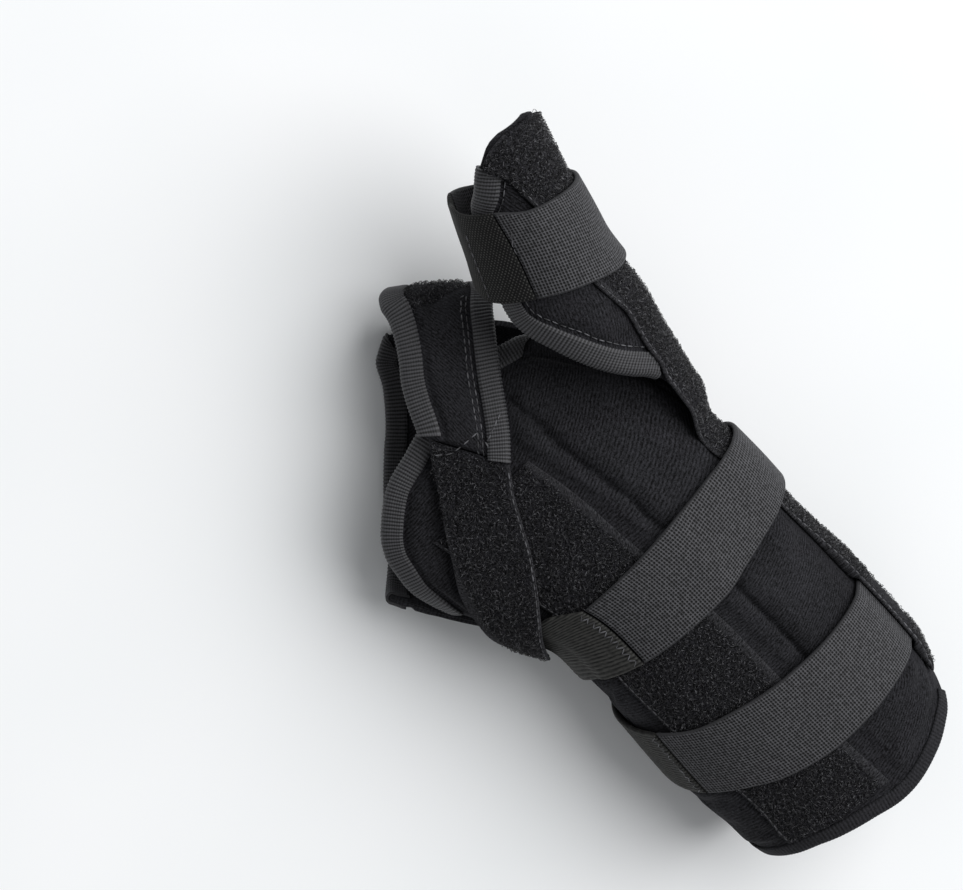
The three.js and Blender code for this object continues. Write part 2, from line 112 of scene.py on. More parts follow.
SLEEVE = table(
    "along radial ulnar volar dorsal",
    (0, 35, 38, 27.5, 21.6), (6, 35.5, 39, 27.5, 23.4), (12, 36, 39.8, 27.5, 26.2),
    (35, 37, 40.8, 27.3, 28.8), (60, 37, 39.5, 26, 27), (90, 38, 38.3, 24, 23.5), (115, 42, 40, 22, 21.5),
    (135, 45.5, 41, 20.5, 21.8), (150, 46.5, 41.5, 19.5, 22.2), (158, 45.5, 41.5, 18.9, 21.3),
    (166, 43.8, 41.5, 18.4, 18.4), (175, 40.6, 41.5, 18, 15), (195, 32, 41, 17.5, 9.4),
)
THUMB_LINE = table(
    "x y z",
    (-64, 16, 31.2), (-93, 19, 34.7), (-113, 21, 39.7), (-134, 26, 46.2), (-156.5, 32, 52.2),
    (-172, 35.5, 55.2), (-188, 40, 59.2), (-202.5, 45, 62.2),
)
THUMB_ROOM = table(
    "along outer inner depth",
    (0, 13, 13, 13), (30, 19, 17, 17), (48, 20.5, 16.5, 17), (65, 20, 15.8, 16.5), (80, 17.5, 15.2, 15.4),
    (92, 15.4, 14.2, 14.8), (105, 15.2, 12, 14.4), (120, 15, 9.5, 14), (145, 14.4, 8, 13.5),
)
VOLAR_CUT = table(
    "angle end hand",
    (-2, 9, 99), (10, 8, 110), (20, 4.5, 128), (26, 2.5, 141), (31, 0.8, 146), (40, -1, 150),
    (48, -2, 154), (65, -4.5, 160.5), (87, -6.5, 166), (103, -4, 169), (122, -1.5, 167), (134, 0, 164),
    (145, 0.5, 159), (156, 1, 154), (166, 1.2, 147), (177.05, 1.2, 140),
)
DORSAL_CUT = table(
    "angle end hand",
    (177.2, 1.2, 160), (200, 1.2, 161), (225, 1, 163.5), (250, 1, 169.5), (270, 1, 174), (290, 2, 179),
    (305, 3, 183), (318, 4.5, 183), (328, 6, 175), (336, 7, 158), (345, 8, 130), (352, 8.6, 110),
    (357.4, 9, 101),
)
PALM_STRIP = table(
    "run thumb_angle thumb_along little_angle little_along",
    (0, 90, 1, 143, 5.4), (20, 91, 21, 139, 22), (44, 92, 47, 142, 42), (64, 92, 66, 146, 62),
    (90, 94, 98, 148, 80), (106, 90, 113, 143, 99), (126, 85.5, 125, 132, 126),
    (145, 82.5, 134.5, 119, 153),
)
WRIST_STRAP = table(
    "angle low high level",
    (-75, 80, 97, 0.5), (-50, 81, 96.7, 0.7), (-40, 81, 96.5, 2.6), (30, 80, 96, 2.6),
    (44, 79.5, 96.3, 2.6), (58, 78.8, 96.8, 1.7), (72, 77.8, 97.3, 1.6), (88, 76.5, 98.2, 2.6),
    (108, 77, 100, 2.6), (127, 78, 102.5, 2.6),
)
WRIST_TAB = table(
    "angle low high level",
    (128, 78, 102.8, 2.6), (133, 78.5, 107, 2.6), (140, 79, 113, 2.6), (149, 79.7, 115.5, 2.6),
    (160, 80, 116, 1), (180, 79, 114, 0.9), (215, 78, 110, 0.9),
)
FOREARM_STRAP = table(
    "angle low high level",
    (6, 20, 45, 0.35), (28, 20, 45, 0.4), (42, 20, 45, 1.6), (67, 20, 45.5, 2), (88, 20.5, 47, 2.6),
    (116, 25, 51, 2.6), (130, 29, 53, 2.6), (150, 34, 58, 2.6),
)
FOREARM_TAB = table(
    "angle low high level",
    (151, 34.2, 58.2, 2.6), (160, 35, 59, 1.4), (174, 36.5, 60.5, 0.8), (190, 38, 62, 0.7),
    (215, 40, 64, 0.7),
)
WEB_STRAP = table(
    "angle low high level",
    (-3, 160, 186.3, 3.6), (12, 158.5, 187, 3.6), (24, 157.5, 185.8, 3.4), (35, 155.5, 182.6, 3.1),
    (48, 152.5, 179, 2.9), (58, 149.5, 176.3, 2.8), (68, 145.8, 173.7, 2.8), (76, 142.7, 170.3, 2.8),
    (85, 139.8, 164.8, 2.8),
)
WEB_ROOT = table(
    "angle low high level",
    (-45, 157, 171, 0.35), (-40.5, 159.5, 174, 0.4), (-36, 160.5, 180.5, 1.35), (-30, 160.5, 184.2, 1.35),
    (-4, 160, 184.6, 1.35), (10, 161, 184.4, 1.35),
)
WEB_TAIL = table(
    "angle low high level",
    (86, 138.8, 162.5, 2.9), (100, 131, 155, 2.9), (111, 125.5, 151, 2.9), (124, 120.5, 146, 3.4),
    (138, 115.2, 141.2, 4.6), (152, 109.5, 134.5, 4.6), (165, 102, 129, 4.4), (178, 95, 122, 4.2),
    (192, 92, 118, 4.2),
)
COVER_CUT = table(
    "along back front",
    (32, -50, 30), (46, -55, 44), (54, -58, 60), (63, -64, 84), (69, -72, 101), (75, -80, 119),
    (79, -85, 132), (83, -88, 140.5), (88, -93, 144), (98, -95, 143), (110, -88, 137), (117, -76, 129),
    (121, -62, 116), (127, -30, 102), (130, -8, 92), (132.6, 10, 81), (134, 24, 66),
)
THUMB_STRIP_CUT = table(
    "along back front",
    (8, -36, 40), (16, -35, 44), (32, -33, 44), (43, -32, 45), (52, -33, 41), (69, -35, 42),
    (77, -39, 48), (84, -45, 55), (112, -60, 72), (119, -52, 77), (123, -40, 82), (126, -27, 93),
    (128, -14, 97), (129.6, -3, 92.5), (132.4, 16, 79), (133.6, 28, 65),
)
THUMB_STRAP = table(
    "angle low high level",
    (-154, 93, 117.5, 2.8), (-125, 88, 115, 2.9), (-100, 85, 112, 3.2), (-84, 83.5, 110.5, 4.9),
    (-20, 81, 107, 4.9), (20, 82, 108, 4.9), (60, 85.5, 110.5, 4.9), (78, 87, 112, 4.9),
    (104.5, 88.7, 116, 4.2), (148, 90, 117, 4), (168, 91, 117.6, 3.2), (180, 91.5, 116.8, 3),
    (205, 93, 117.5, 2.8),
)
# Seam of the stay pocket in the palm panel.
POCKET_SEAM = table(
    "along angle",
    (20, 82), (49, 81), (72, 81.5), (100, 85), (106, 83), (115, 80), (124, 76), (134, 70), (142, 66),
    (149, 62),
)


def smoothstep(at, low, high):
    """Rises softly from 0 at low to 1 at high."""
    share = np.clip((np.asarray(at, float) - low) / (high - low), 0, 1)
    return share * share * (3 - 2 * share)


def between(at, low, full, fall, gone):
    """Rises softly from 0 to 1, and later falls back to 0."""
    return smoothstep(at, low, full) * (1 - smoothstep(at, fall, gone))


def bell(away, wide):
    """1 at no distance, and softly less over a width."""
    return np.exp(-((away / wide) ** 2))


def read(rows, column, at):
    """Smooth value of a table's column by its first column, with no overshoot between its rows."""
    xs, ys = next(iter(rows.values())), rows[column]
    slope = np.diff(ys) / np.diff(xs)
    both = slope[:-1] * slope[1:]
    total = np.where(both > 0, slope[:-1] + slope[1:], 1)
    grade = np.concatenate([slope[:1], np.where(both > 0, 2 * both / total, 0), slope[-1:]])
    at = np.asarray(at, float)
    i = np.clip(np.searchsorted(xs, at, side="right") - 1, 0, len(xs) - 2)
    span = xs[i + 1] - xs[i]
    t = np.clip((at - xs[i]) / span, 0, 1)
    rest = 1 - t
    ends = (1 + 2 * t) * rest * rest * ys[i] + t * t * (3 - 2 * t) * ys[i + 1]
    return ends + t * rest * span * (rest * grade[i] - t * grade[i + 1])


def unit(vectors):
    return vectors / np.linalg.norm(vectors, axis=-1, keepdims=True)


def dot(one, other):
    return (one * other).sum(axis=-1)


def together(*values):
    """Values as arrays of one common shape."""
    return np.broadcast_arrays(*(np.asarray(value, float) for value in values))


def walked(spots):
    """Distance walked along a line of points, from 0 at its first."""
    return np.concatenate([[0], np.cumsum(np.linalg.norm(np.diff(spots, axis=0), axis=1))])


LINE_ALONG = np.arange(-30, 231.0)


def sleeve_line():
    """Middle line of the sleeve, straight from its forearm end, then bent sideways and to the back."""
    turn = np.radians(WRIST_TURN * smoothstep(LINE_ALONG, 80, 130))
    pitch = np.radians(FOREARM_PITCH - WRIST_DROP * smoothstep(LINE_ALONG, 75, 125))
    level = np.cos(pitch)
    course = np.stack([-np.cos(turn) * level, -np.sin(turn) * level, np.sin(pitch)], axis=-1)
    place = np.zeros_like(course)
    place[1:] = np.cumsum((course[1:] + course[:-1]) / 2, axis=0)
    return place + (np.array(LINE_START) - place[LINE_ALONG == 0]), course


LINE_PLACE, LINE_COURSE = sleeve_line()


def sleeve_frame(along):
    """Place on the sleeve's middle line, and the ways along it, to the thumb side and to the palm side."""
    place, course = (
        np.stack([np.interp(along, LINE_ALONG, line[:, k]) for k in range(3)], axis=-1)
        for line in (LINE_PLACE, LINE_COURSE)
    )
    course = unit(course)
    side = unit(np.cross(course, (0, 0, 1)))
    return place, course, side, np.cross(side, course)


def sleeve_halves(along, y, z):
    """Half width and half depth of the sleeve on the side that y and z point to."""
    radial, ulnar, volar, dorsal = (
        read(SLEEVE, name, along) for name in ("radial", "ulnar", "volar", "dorsal")
    )
    return np.where(y >= 0, radial, ulnar), np.where(z >= 0, volar, dorsal)


def on_sleeve(angle, along, height):
    """Points of the sleeve at a height above its outer face, pressed flat where it rests."""
    angle, along, height = together(np.radians(angle), along, height)
    place, _, side, up = sleeve_frame(along)
    c, s = np.cos(angle), np.sin(angle)
    wide, deep = sleeve_halves(along, c, s)
    y, z = (np.sign(v) * np.abs(v) ** (2 / SECTION_POWER) for v in (c, s))
    lean_y, lean_z = (
        np.sign(v) * np.abs(v) ** (SECTION_POWER - 1) / half for v, half in ((y, wide), (z, deep))
    )
    long = np.hypot(lean_y, lean_z)
    point = place + side * (wide * y + height * lean_y / long)[..., None]
    point = point + up * (deep * z + height * lean_z / long)[..., None]
    point[..., 2] = np.where(height <= 0, np.maximum(point[..., 2], -height), point[..., 2])
    return point


def sleeve_height(point):
    """Height of any points above the sleeve's outer face."""
    apart = ((point[..., None, :] - LINE_PLACE[::6]) ** 2).sum(axis=-1)
    along = LINE_ALONG[::6][apart.argmin(axis=-1)]
    for _ in range(3):
        place, course, _, _ = sleeve_frame(along)
        along = along + 0.9 * dot(point - place, course)
    place, _, side, up = sleeve_frame(along)
    y, z = dot(point - place, side), dot(point - place, up)
    wide, deep = sleeve_halves(along, y, z)
    u, v = np.abs(y / wide), np.abs(z / deep)
    power = SECTION_POWER
    reach = np.maximum(u**power + v**power, 1e-9) ** (1 / power)
    fall = reach ** (1 - power)
    steep = np.hypot(fall * u ** (power - 1) / wide, fall * v ** (power - 1) / deep)
    return (reach - 1) / np.maximum(steep, 1e-6)


THUMB_RUN = {"along": walked(np.stack([THUMB_LINE[axis] for axis in "xyz"], axis=-1)), **THUMB_LINE}
# The way that the thumb cover's front faces.
THUMB_FRONT = np.array([-0.235, -0.086, 0.968])


def thumb_place(along):
    return np.stack([read(THUMB_RUN, axis, along) for axis in "xyz"], axis=-1)


def thumb_ray(angle, along):
    """Start, heading and length of the rays from the thumb cover's middle line to its round."""
    angle, along = together(np.radians(angle), along)
    course = unit(thumb_place(along + 0.5) - thumb_place(along - 0.5))
    front = unit(THUMB_FRONT - course * (course @ THUMB_FRONT)[..., None])
    side = np.cross(course, front)
    c, s = np.cos(angle), np.sin(angle)
    outer, inner, depth = (read(THUMB_ROOM, name, along) for name in ("outer", "inner", "depth"))
    reach = 1 / np.hypot(c / np.where(c >= 0, outer, inner), s / depth)
    return thumb_place(along), side * c[..., None] + front * s[..., None], reach


def on_thumb(angle, along, height):
    """Points of the thumb cover's round, away from the sleeve."""
    start, heading, reach = thumb_ray(angle, along)
    return start + heading * (reach + height)[..., None]


def leaves_sleeve(start, heading, height):
    """Distance along rays at which they come out of the sleeve."""
    outer = np.full(height.shape, 72.0)
    walking = np.ones(height.shape, bool)
    for _ in range(36):
        trial = outer[walking] - 2
        above = sleeve_height(start[walking] + heading[walking] * trial[:, None]) > height[walking]
        spots = np.flatnonzero(walking)
        outer.flat[spots[above]] = trial[above]
        walking.flat[spots[~above]] = False
        if not walking.any():
            break
    inner = outer - 2
    for _ in range(14):
        middle = (inner + outer) / 2
        above = sleeve_height(start + heading * middle[..., None]) > height
        outer, inner = np.where(above, middle, outer), np.where(above, inner, middle)
    return np.where(walking, -50, outer)


def on_thumb_base(angle, along, height):
    """Points of the thumb cover's round and the sleeve taken together, with a rounded valley between them."""
    angle, along, height = together(angle, along, height)
    start, heading, reach = thumb_ray(angle.ravel(), along.ravel())
    own = reach + height.ravel()
    other = leaves_sleeve(start, heading, height.ravel() + BASE_CLEAR)
    share = np.clip(0.5 + 0.5 * (own - other) / VALLEY_ROUND, 0, 1)
    far = other * (1 - share) + own * share + VALLEY_ROUND * share * (1 - share)
    return (start + heading * far[:, None]).reshape(angle.shape + (3,))


class Layout:
    """How one layer of cloth lies: its surface, its two edges at each station and its faces' heights.

    over is the height of the outer face, or else the layer's thickness above its inner face.
    """

    def __init__(self, on, first, last, edges, under, over):
        self.on, self.first, self.last = on, first, last
        self.edges, self.under = edges, under
        self.over = over if callable(over) else lambda angle, along: self.under(angle, along) + over


def strap_layout(rows, thick, on=on_sleeve, first=None, last=None):
    def edges(angle):
        return angle, read(rows, "low", angle), angle, read(rows, "high", angle)

    def under(angle, along):
        return read(rows, "level", angle)

    first = rows["angle"][0] if first is None else first
    last = rows["angle"][-1] if last is None else last
    return Layout(on, first, last, edges, under, thick)


def panel_layout(rows, lift):
    def edges(angle):
        return angle, read(rows, "end", angle), angle, read(rows, "hand", angle)

    def under(angle, along):
        return lift(angle, along) - PANEL_THICK

    return Layout(on_sleeve, rows["angle"][0], rows["angle"][-1], edges, under, lift)


def thumb_layout(rows, under, thick):
    def edges(along):
        return read(rows, "back", along), along, read(rows, "front", along), along

    return Layout(on_thumb_base, rows["along"][0], rows["along"][-1], edges, under, thick)


def level_lift(angle, along):
    return np.zeros(np.broadcast(angle, along).shape)


def volar_lift(angle, along):
    """The palm panel swells out at the foot of the thumb cover."""
    round_it = between(angle, -30, 5, 18, 46)
    return 3.4 * round_it * smoothstep(along, 101, 113) * (1 - smoothstep(along, 116, 136))


def dorsal_lift(angle, along):
    """The little-finger corner stands out, and the far edge is raised so that its tape clears the table."""
    flare = 2 * smoothstep(along, 105, 150) * (1 - smoothstep(angle, 195, 235))
    to_edge = read(DORSAL_CUT, "hand", angle) - along
    low = between(angle, 200, 240, 300, 325)
    return flare - 2.6 * low * (1 - smoothstep(to_edge, 7, 18))


def radial_under(angle, along):
    over_strap = smoothstep(along, 17.5, 19.5) - smoothstep(along, 45.5, 47.5)
    return LAYER_GAP + RADIAL_RISE * over_strap * smoothstep(angle, -6, 4)


def radial_over(angle, along):
    """The strip along the thumb side stands up over the sewn end of the forearm strap."""
    rise = RADIAL_RISE * (smoothstep(along, 9, 19) - smoothstep(along, 47, 76))
    return LAYER_GAP + PILE_GROUND + rise * smoothstep(angle, -38, -20)


def radial_edges(along):
    front = 28 + 5 * smoothstep(along, 60, 90)
    return np.full_like(front, -38), along, front, along


def palm_edges(run):
    return tuple(read(PALM_STRIP, name, run) for name in list(PALM_STRIP)[1:])


def strip_under(angle, along):
    """The thumb strip climbs from the sleeve onto the thumb cover."""
    low = LAYER_GAP - BASE_CLEAR
    return low + (COVER_THICK + THUMB_STRIP_LIFT - low) * smoothstep(along, 18, 31)


def tail_under(angle, along):
    """The strap's tail starts raised, over the strap's end."""
    return read(WEB_TAIL, "level", angle) + 1.1 * (1 - smoothstep(angle, 86, 98))


VOLAR = panel_layout(VOLAR_CUT, volar_lift)
DORSAL = panel_layout(DORSAL_CUT, dorsal_lift)
COVER = thumb_layout(COVER_CUT, level_lift, COVER_THICK)
WEB = strap_layout(WEB_STRAP, STRAP_PAD_THICK)
PALM_LOOP = Layout(on_sleeve, 0, 145, palm_edges, lambda angle, along: LAYER_GAP + 0 * angle, PILE_GROUND)
RADIAL_LOOP = Layout(on_sleeve, 8.4, 87, radial_edges, radial_under, radial_over)
THUMB_LOOP = thumb_layout(THUMB_STRIP_CUT, strip_under, PILE_GROUND)
ROOT_LOOP = strap_layout(WEB_ROOT, PILE_GROUND)
TAIL_LOOP = strap_layout(WEB_TAIL, PILE_GROUND, first=85.4)
TAIL_LOOP.under = tail_under
WRIST = strap_layout(WRIST_STRAP, WEBBING_THICK)
FOREARM = strap_layout(FOREARM_STRAP, WEBBING_THICK)
THUMB_BAND = strap_layout(THUMB_STRAP, WEBBING_THICK, on_thumb, -154, 104.5)
WRIST_HOOK = strap_layout(WRIST_TAB, WEBBING_THICK)
FOREARM_HOOK = strap_layout(FOREARM_TAB, WEBBING_THICK)
THUMB_HOOK = strap_layout(THUMB_STRAP, WEBBING_THICK, on_thumb, 105.5, 205)


def middle(layout, angle, along):
    return (layout.under(angle, along) + layout.over(angle, along)) / 2


def across_at(layout, station, share):
    """Angle and along of a share of the way across the cloth at a station."""
    angle0, along0, angle1, along1 = layout.edges(station)
    return angle0 + (angle1 - angle0) * share, along0 + (along1 - along0) * share


def width_at(layout, stations):
    """Width of the cloth at each station, along its own surface."""
    angle, along = across_at(layout, stations[:, None], np.linspace(0, 1, 13))
    spots = layout.on(angle, along, middle(layout, angle, along))
    return np.linalg.norm(np.diff(spots, axis=1), axis=2).sum(axis=1)


def length_along(layout, stations):
    """Distance from the first station along the middle of the cloth."""
    angle, along = across_at(layout, stations, 0.5)
    return walked(layout.on(angle, along, middle(layout, angle, along)))


def measured(layout):
    """Distance along the cloth, and its width there, at even stations."""
    stations = np.linspace(layout.first, layout.last, 61)
    return length_along(layout, stations), width_at(layout, stations)


def held_share(left, away):
    """Share of the thickness at a distance from an edge, where tape holds the cloth down to what is left."""
    return 1 - (1 - left) * (1 - smoothstep(away, 2, 9))


def spaced_stations(layout, step, rim):
    """Stations a step apart, with closer ones at both ends for the rounded rim there, and the rim's share."""
    fine = np.linspace(layout.first, layout.last, 241)
    run = length_along(layout, fine)
    turn = np.radians([8, 32, 58])
    close = rim * (1 - np.cos(turn))
    count = max(int((run[-1] - 2 * rim) / step), 2)
    inner = np.linspace(rim, run[-1] - rim, count + 1)
    at = np.concatenate([close, inner, (run[-1] - close)[::-1]])
    round_share = np.concatenate([np.sin(turn), np.ones(count + 1), np.sin(turn)[::-1]])
    return np.interp(at, run, fine), at, round_share, run[-1]


RIM_TURN = np.radians([60, 20, -20, -60])


def section_ring(count):
    """One section of a layer: share of the rim, share of the width, and level from 1 outside to -1 inside."""
    share = np.linspace(0, 1, count + 1)
    rim = np.concatenate([1 - 2 * share, np.cos(RIM_TURN) - 1, (1 - 2 * share)[::-1], 1 - np.cos(RIM_TURN)])
    wide = np.concatenate([share, np.ones(4), share[::-1], np.zeros(4)])
    ones = np.ones(count + 1)
    level = np.concatenate([ones, np.sin(RIM_TURN), -ones, -np.sin(RIM_TURN)])
    return rim, wide, level


def ring_faces(rings, around):
    """Faces of a tube of rings, closed round each ring and at both ends."""
    i, k = np.meshgrid(np.arange(rings - 1), np.arange(around), indexing="ij")
    a, b = i * around + k, i * around + (k + 1) % around
    return np.stack([a, b, b + around, a + around], axis=-1).reshape(-1, 4)


def cap_faces(count, first):
    """Faces that close one end of a layer, between its outer and its inner face."""
    around = 2 * (count + 1) + 8
    upper = np.concatenate([[around - 2, around - 1], np.arange(count + 1), [count + 1, count + 2]])
    lower = np.concatenate(
        [[around - 3, around - 4], count + 5 + np.arange(count + 1)[::-1], [count + 4, count + 3]]
    )
    strips = np.stack([upper[:-1], upper[1:], lower[1:], lower[:-1]], axis=-1)
    return first + strips


def seam_distance(points, line):
    """Distance of points from a line of points, and which of the line's points is nearest."""
    flat = points.reshape(-1, 3)
    near, which = np.full(len(flat), np.inf), np.zeros(len(flat), int)
    for number, spot in enumerate(line):
        apart = ((flat - spot) ** 2).sum(axis=1)
        which = np.where(apart < near, number, which)
        near = np.minimum(near, apart)
    return np.sqrt(near).reshape(points.shape[:-1]), which.reshape(points.shape[:-1])


def cloth(layout, step, count, pinch=(1, 1), relief=None):
    """A closed layer of cloth with rounded rims: points, faces and each point's run, across and level.

    pinch is the share of the thickness left at each edge, where tape holds the cloth down.
    relief gives what the outer face stands out by, from a dict of places.
    """
    rim, wide, level = section_ring(count)
    start = layout.edges(np.array([layout.first]))
    thick = float(np.mean(layout.over(start[0], start[1]) - layout.under(start[0], start[1])))
    stations, run, ends, total = spaced_stations(layout, step, thick / 2)
    width = width_at(layout, stations)
    half = thick / 2 * min(pinch)
    across = rim * half * ends[:, None] + wide * width[:, None]
    angle, along = across_at(layout, stations[:, None], across / width[:, None])
    under, over = layout.under(angle, along), layout.over(angle, along)
    hold, edge = np.ones(angle.shape), np.full(angle.shape, 99.0)
    fine = np.linspace(layout.first, layout.last, 240)
    for side, left in enumerate(pinch):
        if left < 1:
            edge_angle, edge_along = across_at(layout, fine, side)
            rim_line = layout.on(edge_angle, edge_along, middle(layout, edge_angle, edge_along))
            away, _ = seam_distance(layout.on(angle, along, (under + over) / 2), rim_line)
            hold = np.minimum(hold, held_share(left, away))
            edge = np.minimum(edge, away)
    height = (under + over) / 2 + level * hold * ends[:, None] * (over - under) / 2
    spread = {"run": run[:, None], "width": width[:, None], "level": level}
    places = {name: np.broadcast_to(values, height.shape) for name, values in spread.items()}
    places.update(angle=angle, along=along, across=across, length=total)
    if relief is not None:
        rise = relief(places) * smoothstep(edge, 5, 9) - 0.5 * bell(edge - SEAM_IN, 0.7)
        height = height + rise * ends[:, None] * np.clip(places["level"], 0, 1)
    points = layout.on(angle, along, height)
    around, rings = len(level), len(stations)
    faces = np.concatenate(
        [ring_faces(rings, around), cap_faces(count, 0), cap_faces(count, (rings - 1) * around)[:, ::-1]]
    )
    kept = ("run", "across", "level", "angle", "along")
    return points.reshape(-1, 3), faces, {name: np.ravel(places[name]) for name in kept}


def edge_inward(layout, stations, at_end):
    """Edge of a layer and the way into the cloth from it, as angle and along for each millimetre."""
    on = layout.on

    def edge(station):
        found = layout.edges(station)
        return (found[2], found[3]) if at_end else (found[0], found[1])

    angle, along = edge(stations)
    by_angle = on(angle + 0.5, along, 0) - on(angle - 0.5, along, 0)
    by_along = on(angle, along + 0.5, 0) - on(angle, along - 0.5, 0)
    run = unit(on(*edge(stations + 0.2), 0) - on(*edge(stations - 0.2), 0))
    into = np.cross(unit(np.cross(by_angle, by_along)), run)
    other = across_at(layout, stations, 0.9 if at_end else 0.1)
    wrong = dot(on(*other, 0) - on(angle, along, 0), into) < 0
    into = np.where(wrong[:, None], -into, into)
    aa, bb, ab = dot(by_angle, by_angle), dot(by_along, by_along), dot(by_angle, by_along)
    pa, pb = dot(into, by_angle), dot(into, by_along)
    whole = aa * bb - ab * ab
    return angle, along, (pa * bb - pb * ab) / whole, (pb * aa - pa * ab) / whole


def smoothed(values, passes):
    """Evens out small jumps along a line and keeps its ends."""
    for _ in range(passes):
        middle_part = (values[:-2] + 2 * values[1:-1] + values[2:]) / 4
        values = np.concatenate([values[:1], middle_part, values[-1:]])
    return values


def folded_tape(layout, first, last, at_end, width, hold, step, slant=0.0):
    """Tape folded over an edge of a layer, as points, faces and each point's run.

    slant is how much later the tape starts for each millimetre into the cloth.
    """
    fine = np.linspace(first, last, 161)
    angle, along, angle_in, along_in = edge_inward(layout, fine, at_end)
    angle_in, along_in = smoothed(angle_in, 30), smoothed(along_in, 30)
    length = walked(layout.on(angle, along, middle(layout, angle, along)))
    run = np.linspace(0, length[-1], max(int(length[-1] / step), 8))
    thick = float(np.mean(layout.over(angle, along) - layout.under(angle, along)))
    leg = np.array([width, 0.8 * width, 0.55 * width, 0.35 * width])
    nose = np.radians([75, 45, 15, -15, -45, -75])
    inner_half, inner_leg = (thick / 2 * held_share(hold, depth) + TAPE_GAP for depth in (0, leg))
    outer_half, outer_leg = inner_half + TAPE_THICK, inner_leg + TAPE_THICK * np.array([0.72, 1, 1, 1])
    centre = outer_half - 1.0

    def face(rise, half, turn):
        """One face of the fold, from the end of one leg round the nose to the end of the other."""
        around_nose = zip(centre - half * np.cos(turn), half * np.sin(turn))
        return [*zip(leg, rise), *around_nose, *zip(leg[::-1], -rise[::-1])]

    outer, inner = face(outer_leg, outer_half, nose), face(-inner_leg, inner_half, nose[::-1])
    depth, rise = np.array(outer + inner).T
    inside = np.maximum(depth, 0)
    run_at = run[:, None] + slant * inside * (1 - smoothstep(run, 0, TAPE_SLANT_RUN))[:, None]
    angle, along, angle_in, along_in = (
        np.interp(run_at, length, values) for values in (angle, along, angle_in, along_in)
    )
    level = middle(layout, angle + angle_in * inside, along + along_in * inside)
    points = layout.on(angle + angle_in * depth, along + along_in * depth, level + rise)
    rings, around = len(run), len(depth)
    faces = [ring_faces(rings, around)]
    for base, turn in ((0, 1), ((rings - 1) * around, -1)):
        k = np.arange(around // 2 - 1)
        strip = np.stack([k, k + 1, around - 2 - k, around - 1 - k], axis=-1)
        faces.append(base + strip[:, ::turn])
    bare = np.zeros(len(inner))
    return points.reshape(-1, 3), np.concatenate(faces), {
        "run": run_at.reshape(-1),
        "across": np.tile(np.concatenate([walked(np.array(outer)), bare]), rings),
        "ribbed": np.tile(np.concatenate([np.ones(len(outer)), bare]), rings),
    }


# Meshes, nodes and materials


def linear(code):
    """Linear colour of an sRGB hex value."""
    parts = [int(code[i : i + 2], 16) / 255 for i in (0, 2, 4)]
    return tuple(p / 12.92 if p <= 0.04045 else ((p + 0.055) / 1.055) ** 2.4 for p in parts)


def add(tree, kind, settings=None, links=None):
    """Adds a node with its settings, and with a value or a link on each of its named sockets.

    A node given as a value stands for its first output.
    """
    node = tree.nodes.new(kind)
    for name, value in (settings or {}).items():
        setattr(node, name, value)
    for name, value in (links or {}).items():
        if isinstance(value, bpy.types.Node):
            value = value.outputs[0]
        if isinstance(value, bpy.types.NodeSocket):
            tree.links.new(value, node.inputs[name])
        else:
            node.inputs[name].default_value = value
    return node


def new_object(name, data):
    """An object of that data, in the scene."""
    made = bpy.data.objects.new(name, data)
    bpy.context.scene.collection.objects.link(made)
    return made


def mesh_object(name, points, faces, facts, material=None, grain=0.0):
    """A smooth closed mesh in metres, with its facts and its weave coordinates turned by a grain angle."""
    corners = points[faces]
    volume = (corners[:, 0] * np.cross(corners[:, 1], corners[:, 2])).sum()
    volume += (corners[:, 0] * np.cross(corners[:, 2], corners[:, 3])).sum()
    if volume < 0:
        faces = faces[:, ::-1]
    points = np.array(points)
    points[:, 2] = np.maximum(points[:, 2], 0)
    mesh = bpy.data.meshes.new(name)
    mesh.from_pydata(points * MM, [], faces.tolist())
    mesh.polygons.foreach_set("use_smooth", np.ones(len(faces), bool))
    if "run" in facts:
        weave = mesh.uv_layers.new(name="weave")
        c, s = math.cos(math.radians(grain)), math.sin(math.radians(grain))
        along_grain = c * facts["run"] + s * facts["across"]
        across_grain = c * facts["across"] - s * facts["run"]
        uv = np.stack([along_grain, across_grain], axis=-1)[faces.ravel()] * MM
        weave.data.foreach_set("uv", uv.ravel().astype(np.float32))
    for key, values in facts.items():
        mesh.attributes.new(key, "FLOAT", "POINT").data.foreach_set("value", values.astype(np.float32))
    if material:
        mesh.materials.append(material)
    mesh.update()
    return new_object(name, mesh)


def grown(piece, tree, values):
    """Mesh that a node tree makes of a piece, with the tree's named inputs set."""
    modifier = piece.modifiers.new(tree.name, "NODES")
    modifier.node_group = tree
    for socket in tree.interface.items_tree:
        if socket.in_out == "INPUT" and socket.name in values:
            modifier[socket.identifier] = values[socket.name]
    graph = bpy.context.evaluated_depsgraph_get()
    made = bpy.data.meshes.new_from_object(
        piece.evaluated_get(graph), preserve_all_data_layers=True, depsgraph=graph
    )
    piece.modifiers.remove(modifier)
    return made


def new_tree(name, inputs):
    """An empty geometry tree with its named inputs, and its two end nodes."""
    tree = bpy.data.node_groups.new(name, "GeometryNodeTree")
    tree.interface.new_socket("Geometry", in_out="INPUT", socket_type="NodeSocketGeometry")
    for label, kind in inputs.items():
        tree.interface.new_socket(label, in_out="INPUT", socket_type="NodeSocket" + kind)
    tree.interface.new_socket("Geometry", in_out="OUTPUT", socket_type="NodeSocketGeometry")
    return tree, add(tree, "NodeGroupInput").outputs, add(tree, "NodeGroupOutput").inputs


def end_tree(tree, geometry, material, result):
    """Makes the geometry real, dresses it in the material and ends the tree."""
    real = add(tree, "GeometryNodeRealizeInstances", links={"Geometry": geometry})
    dressed = add(tree, "GeometryNodeSetMaterial", links={"Geometry": real, "Material": material})
    tree.links.new(dressed.outputs[0], result[0])
    return tree


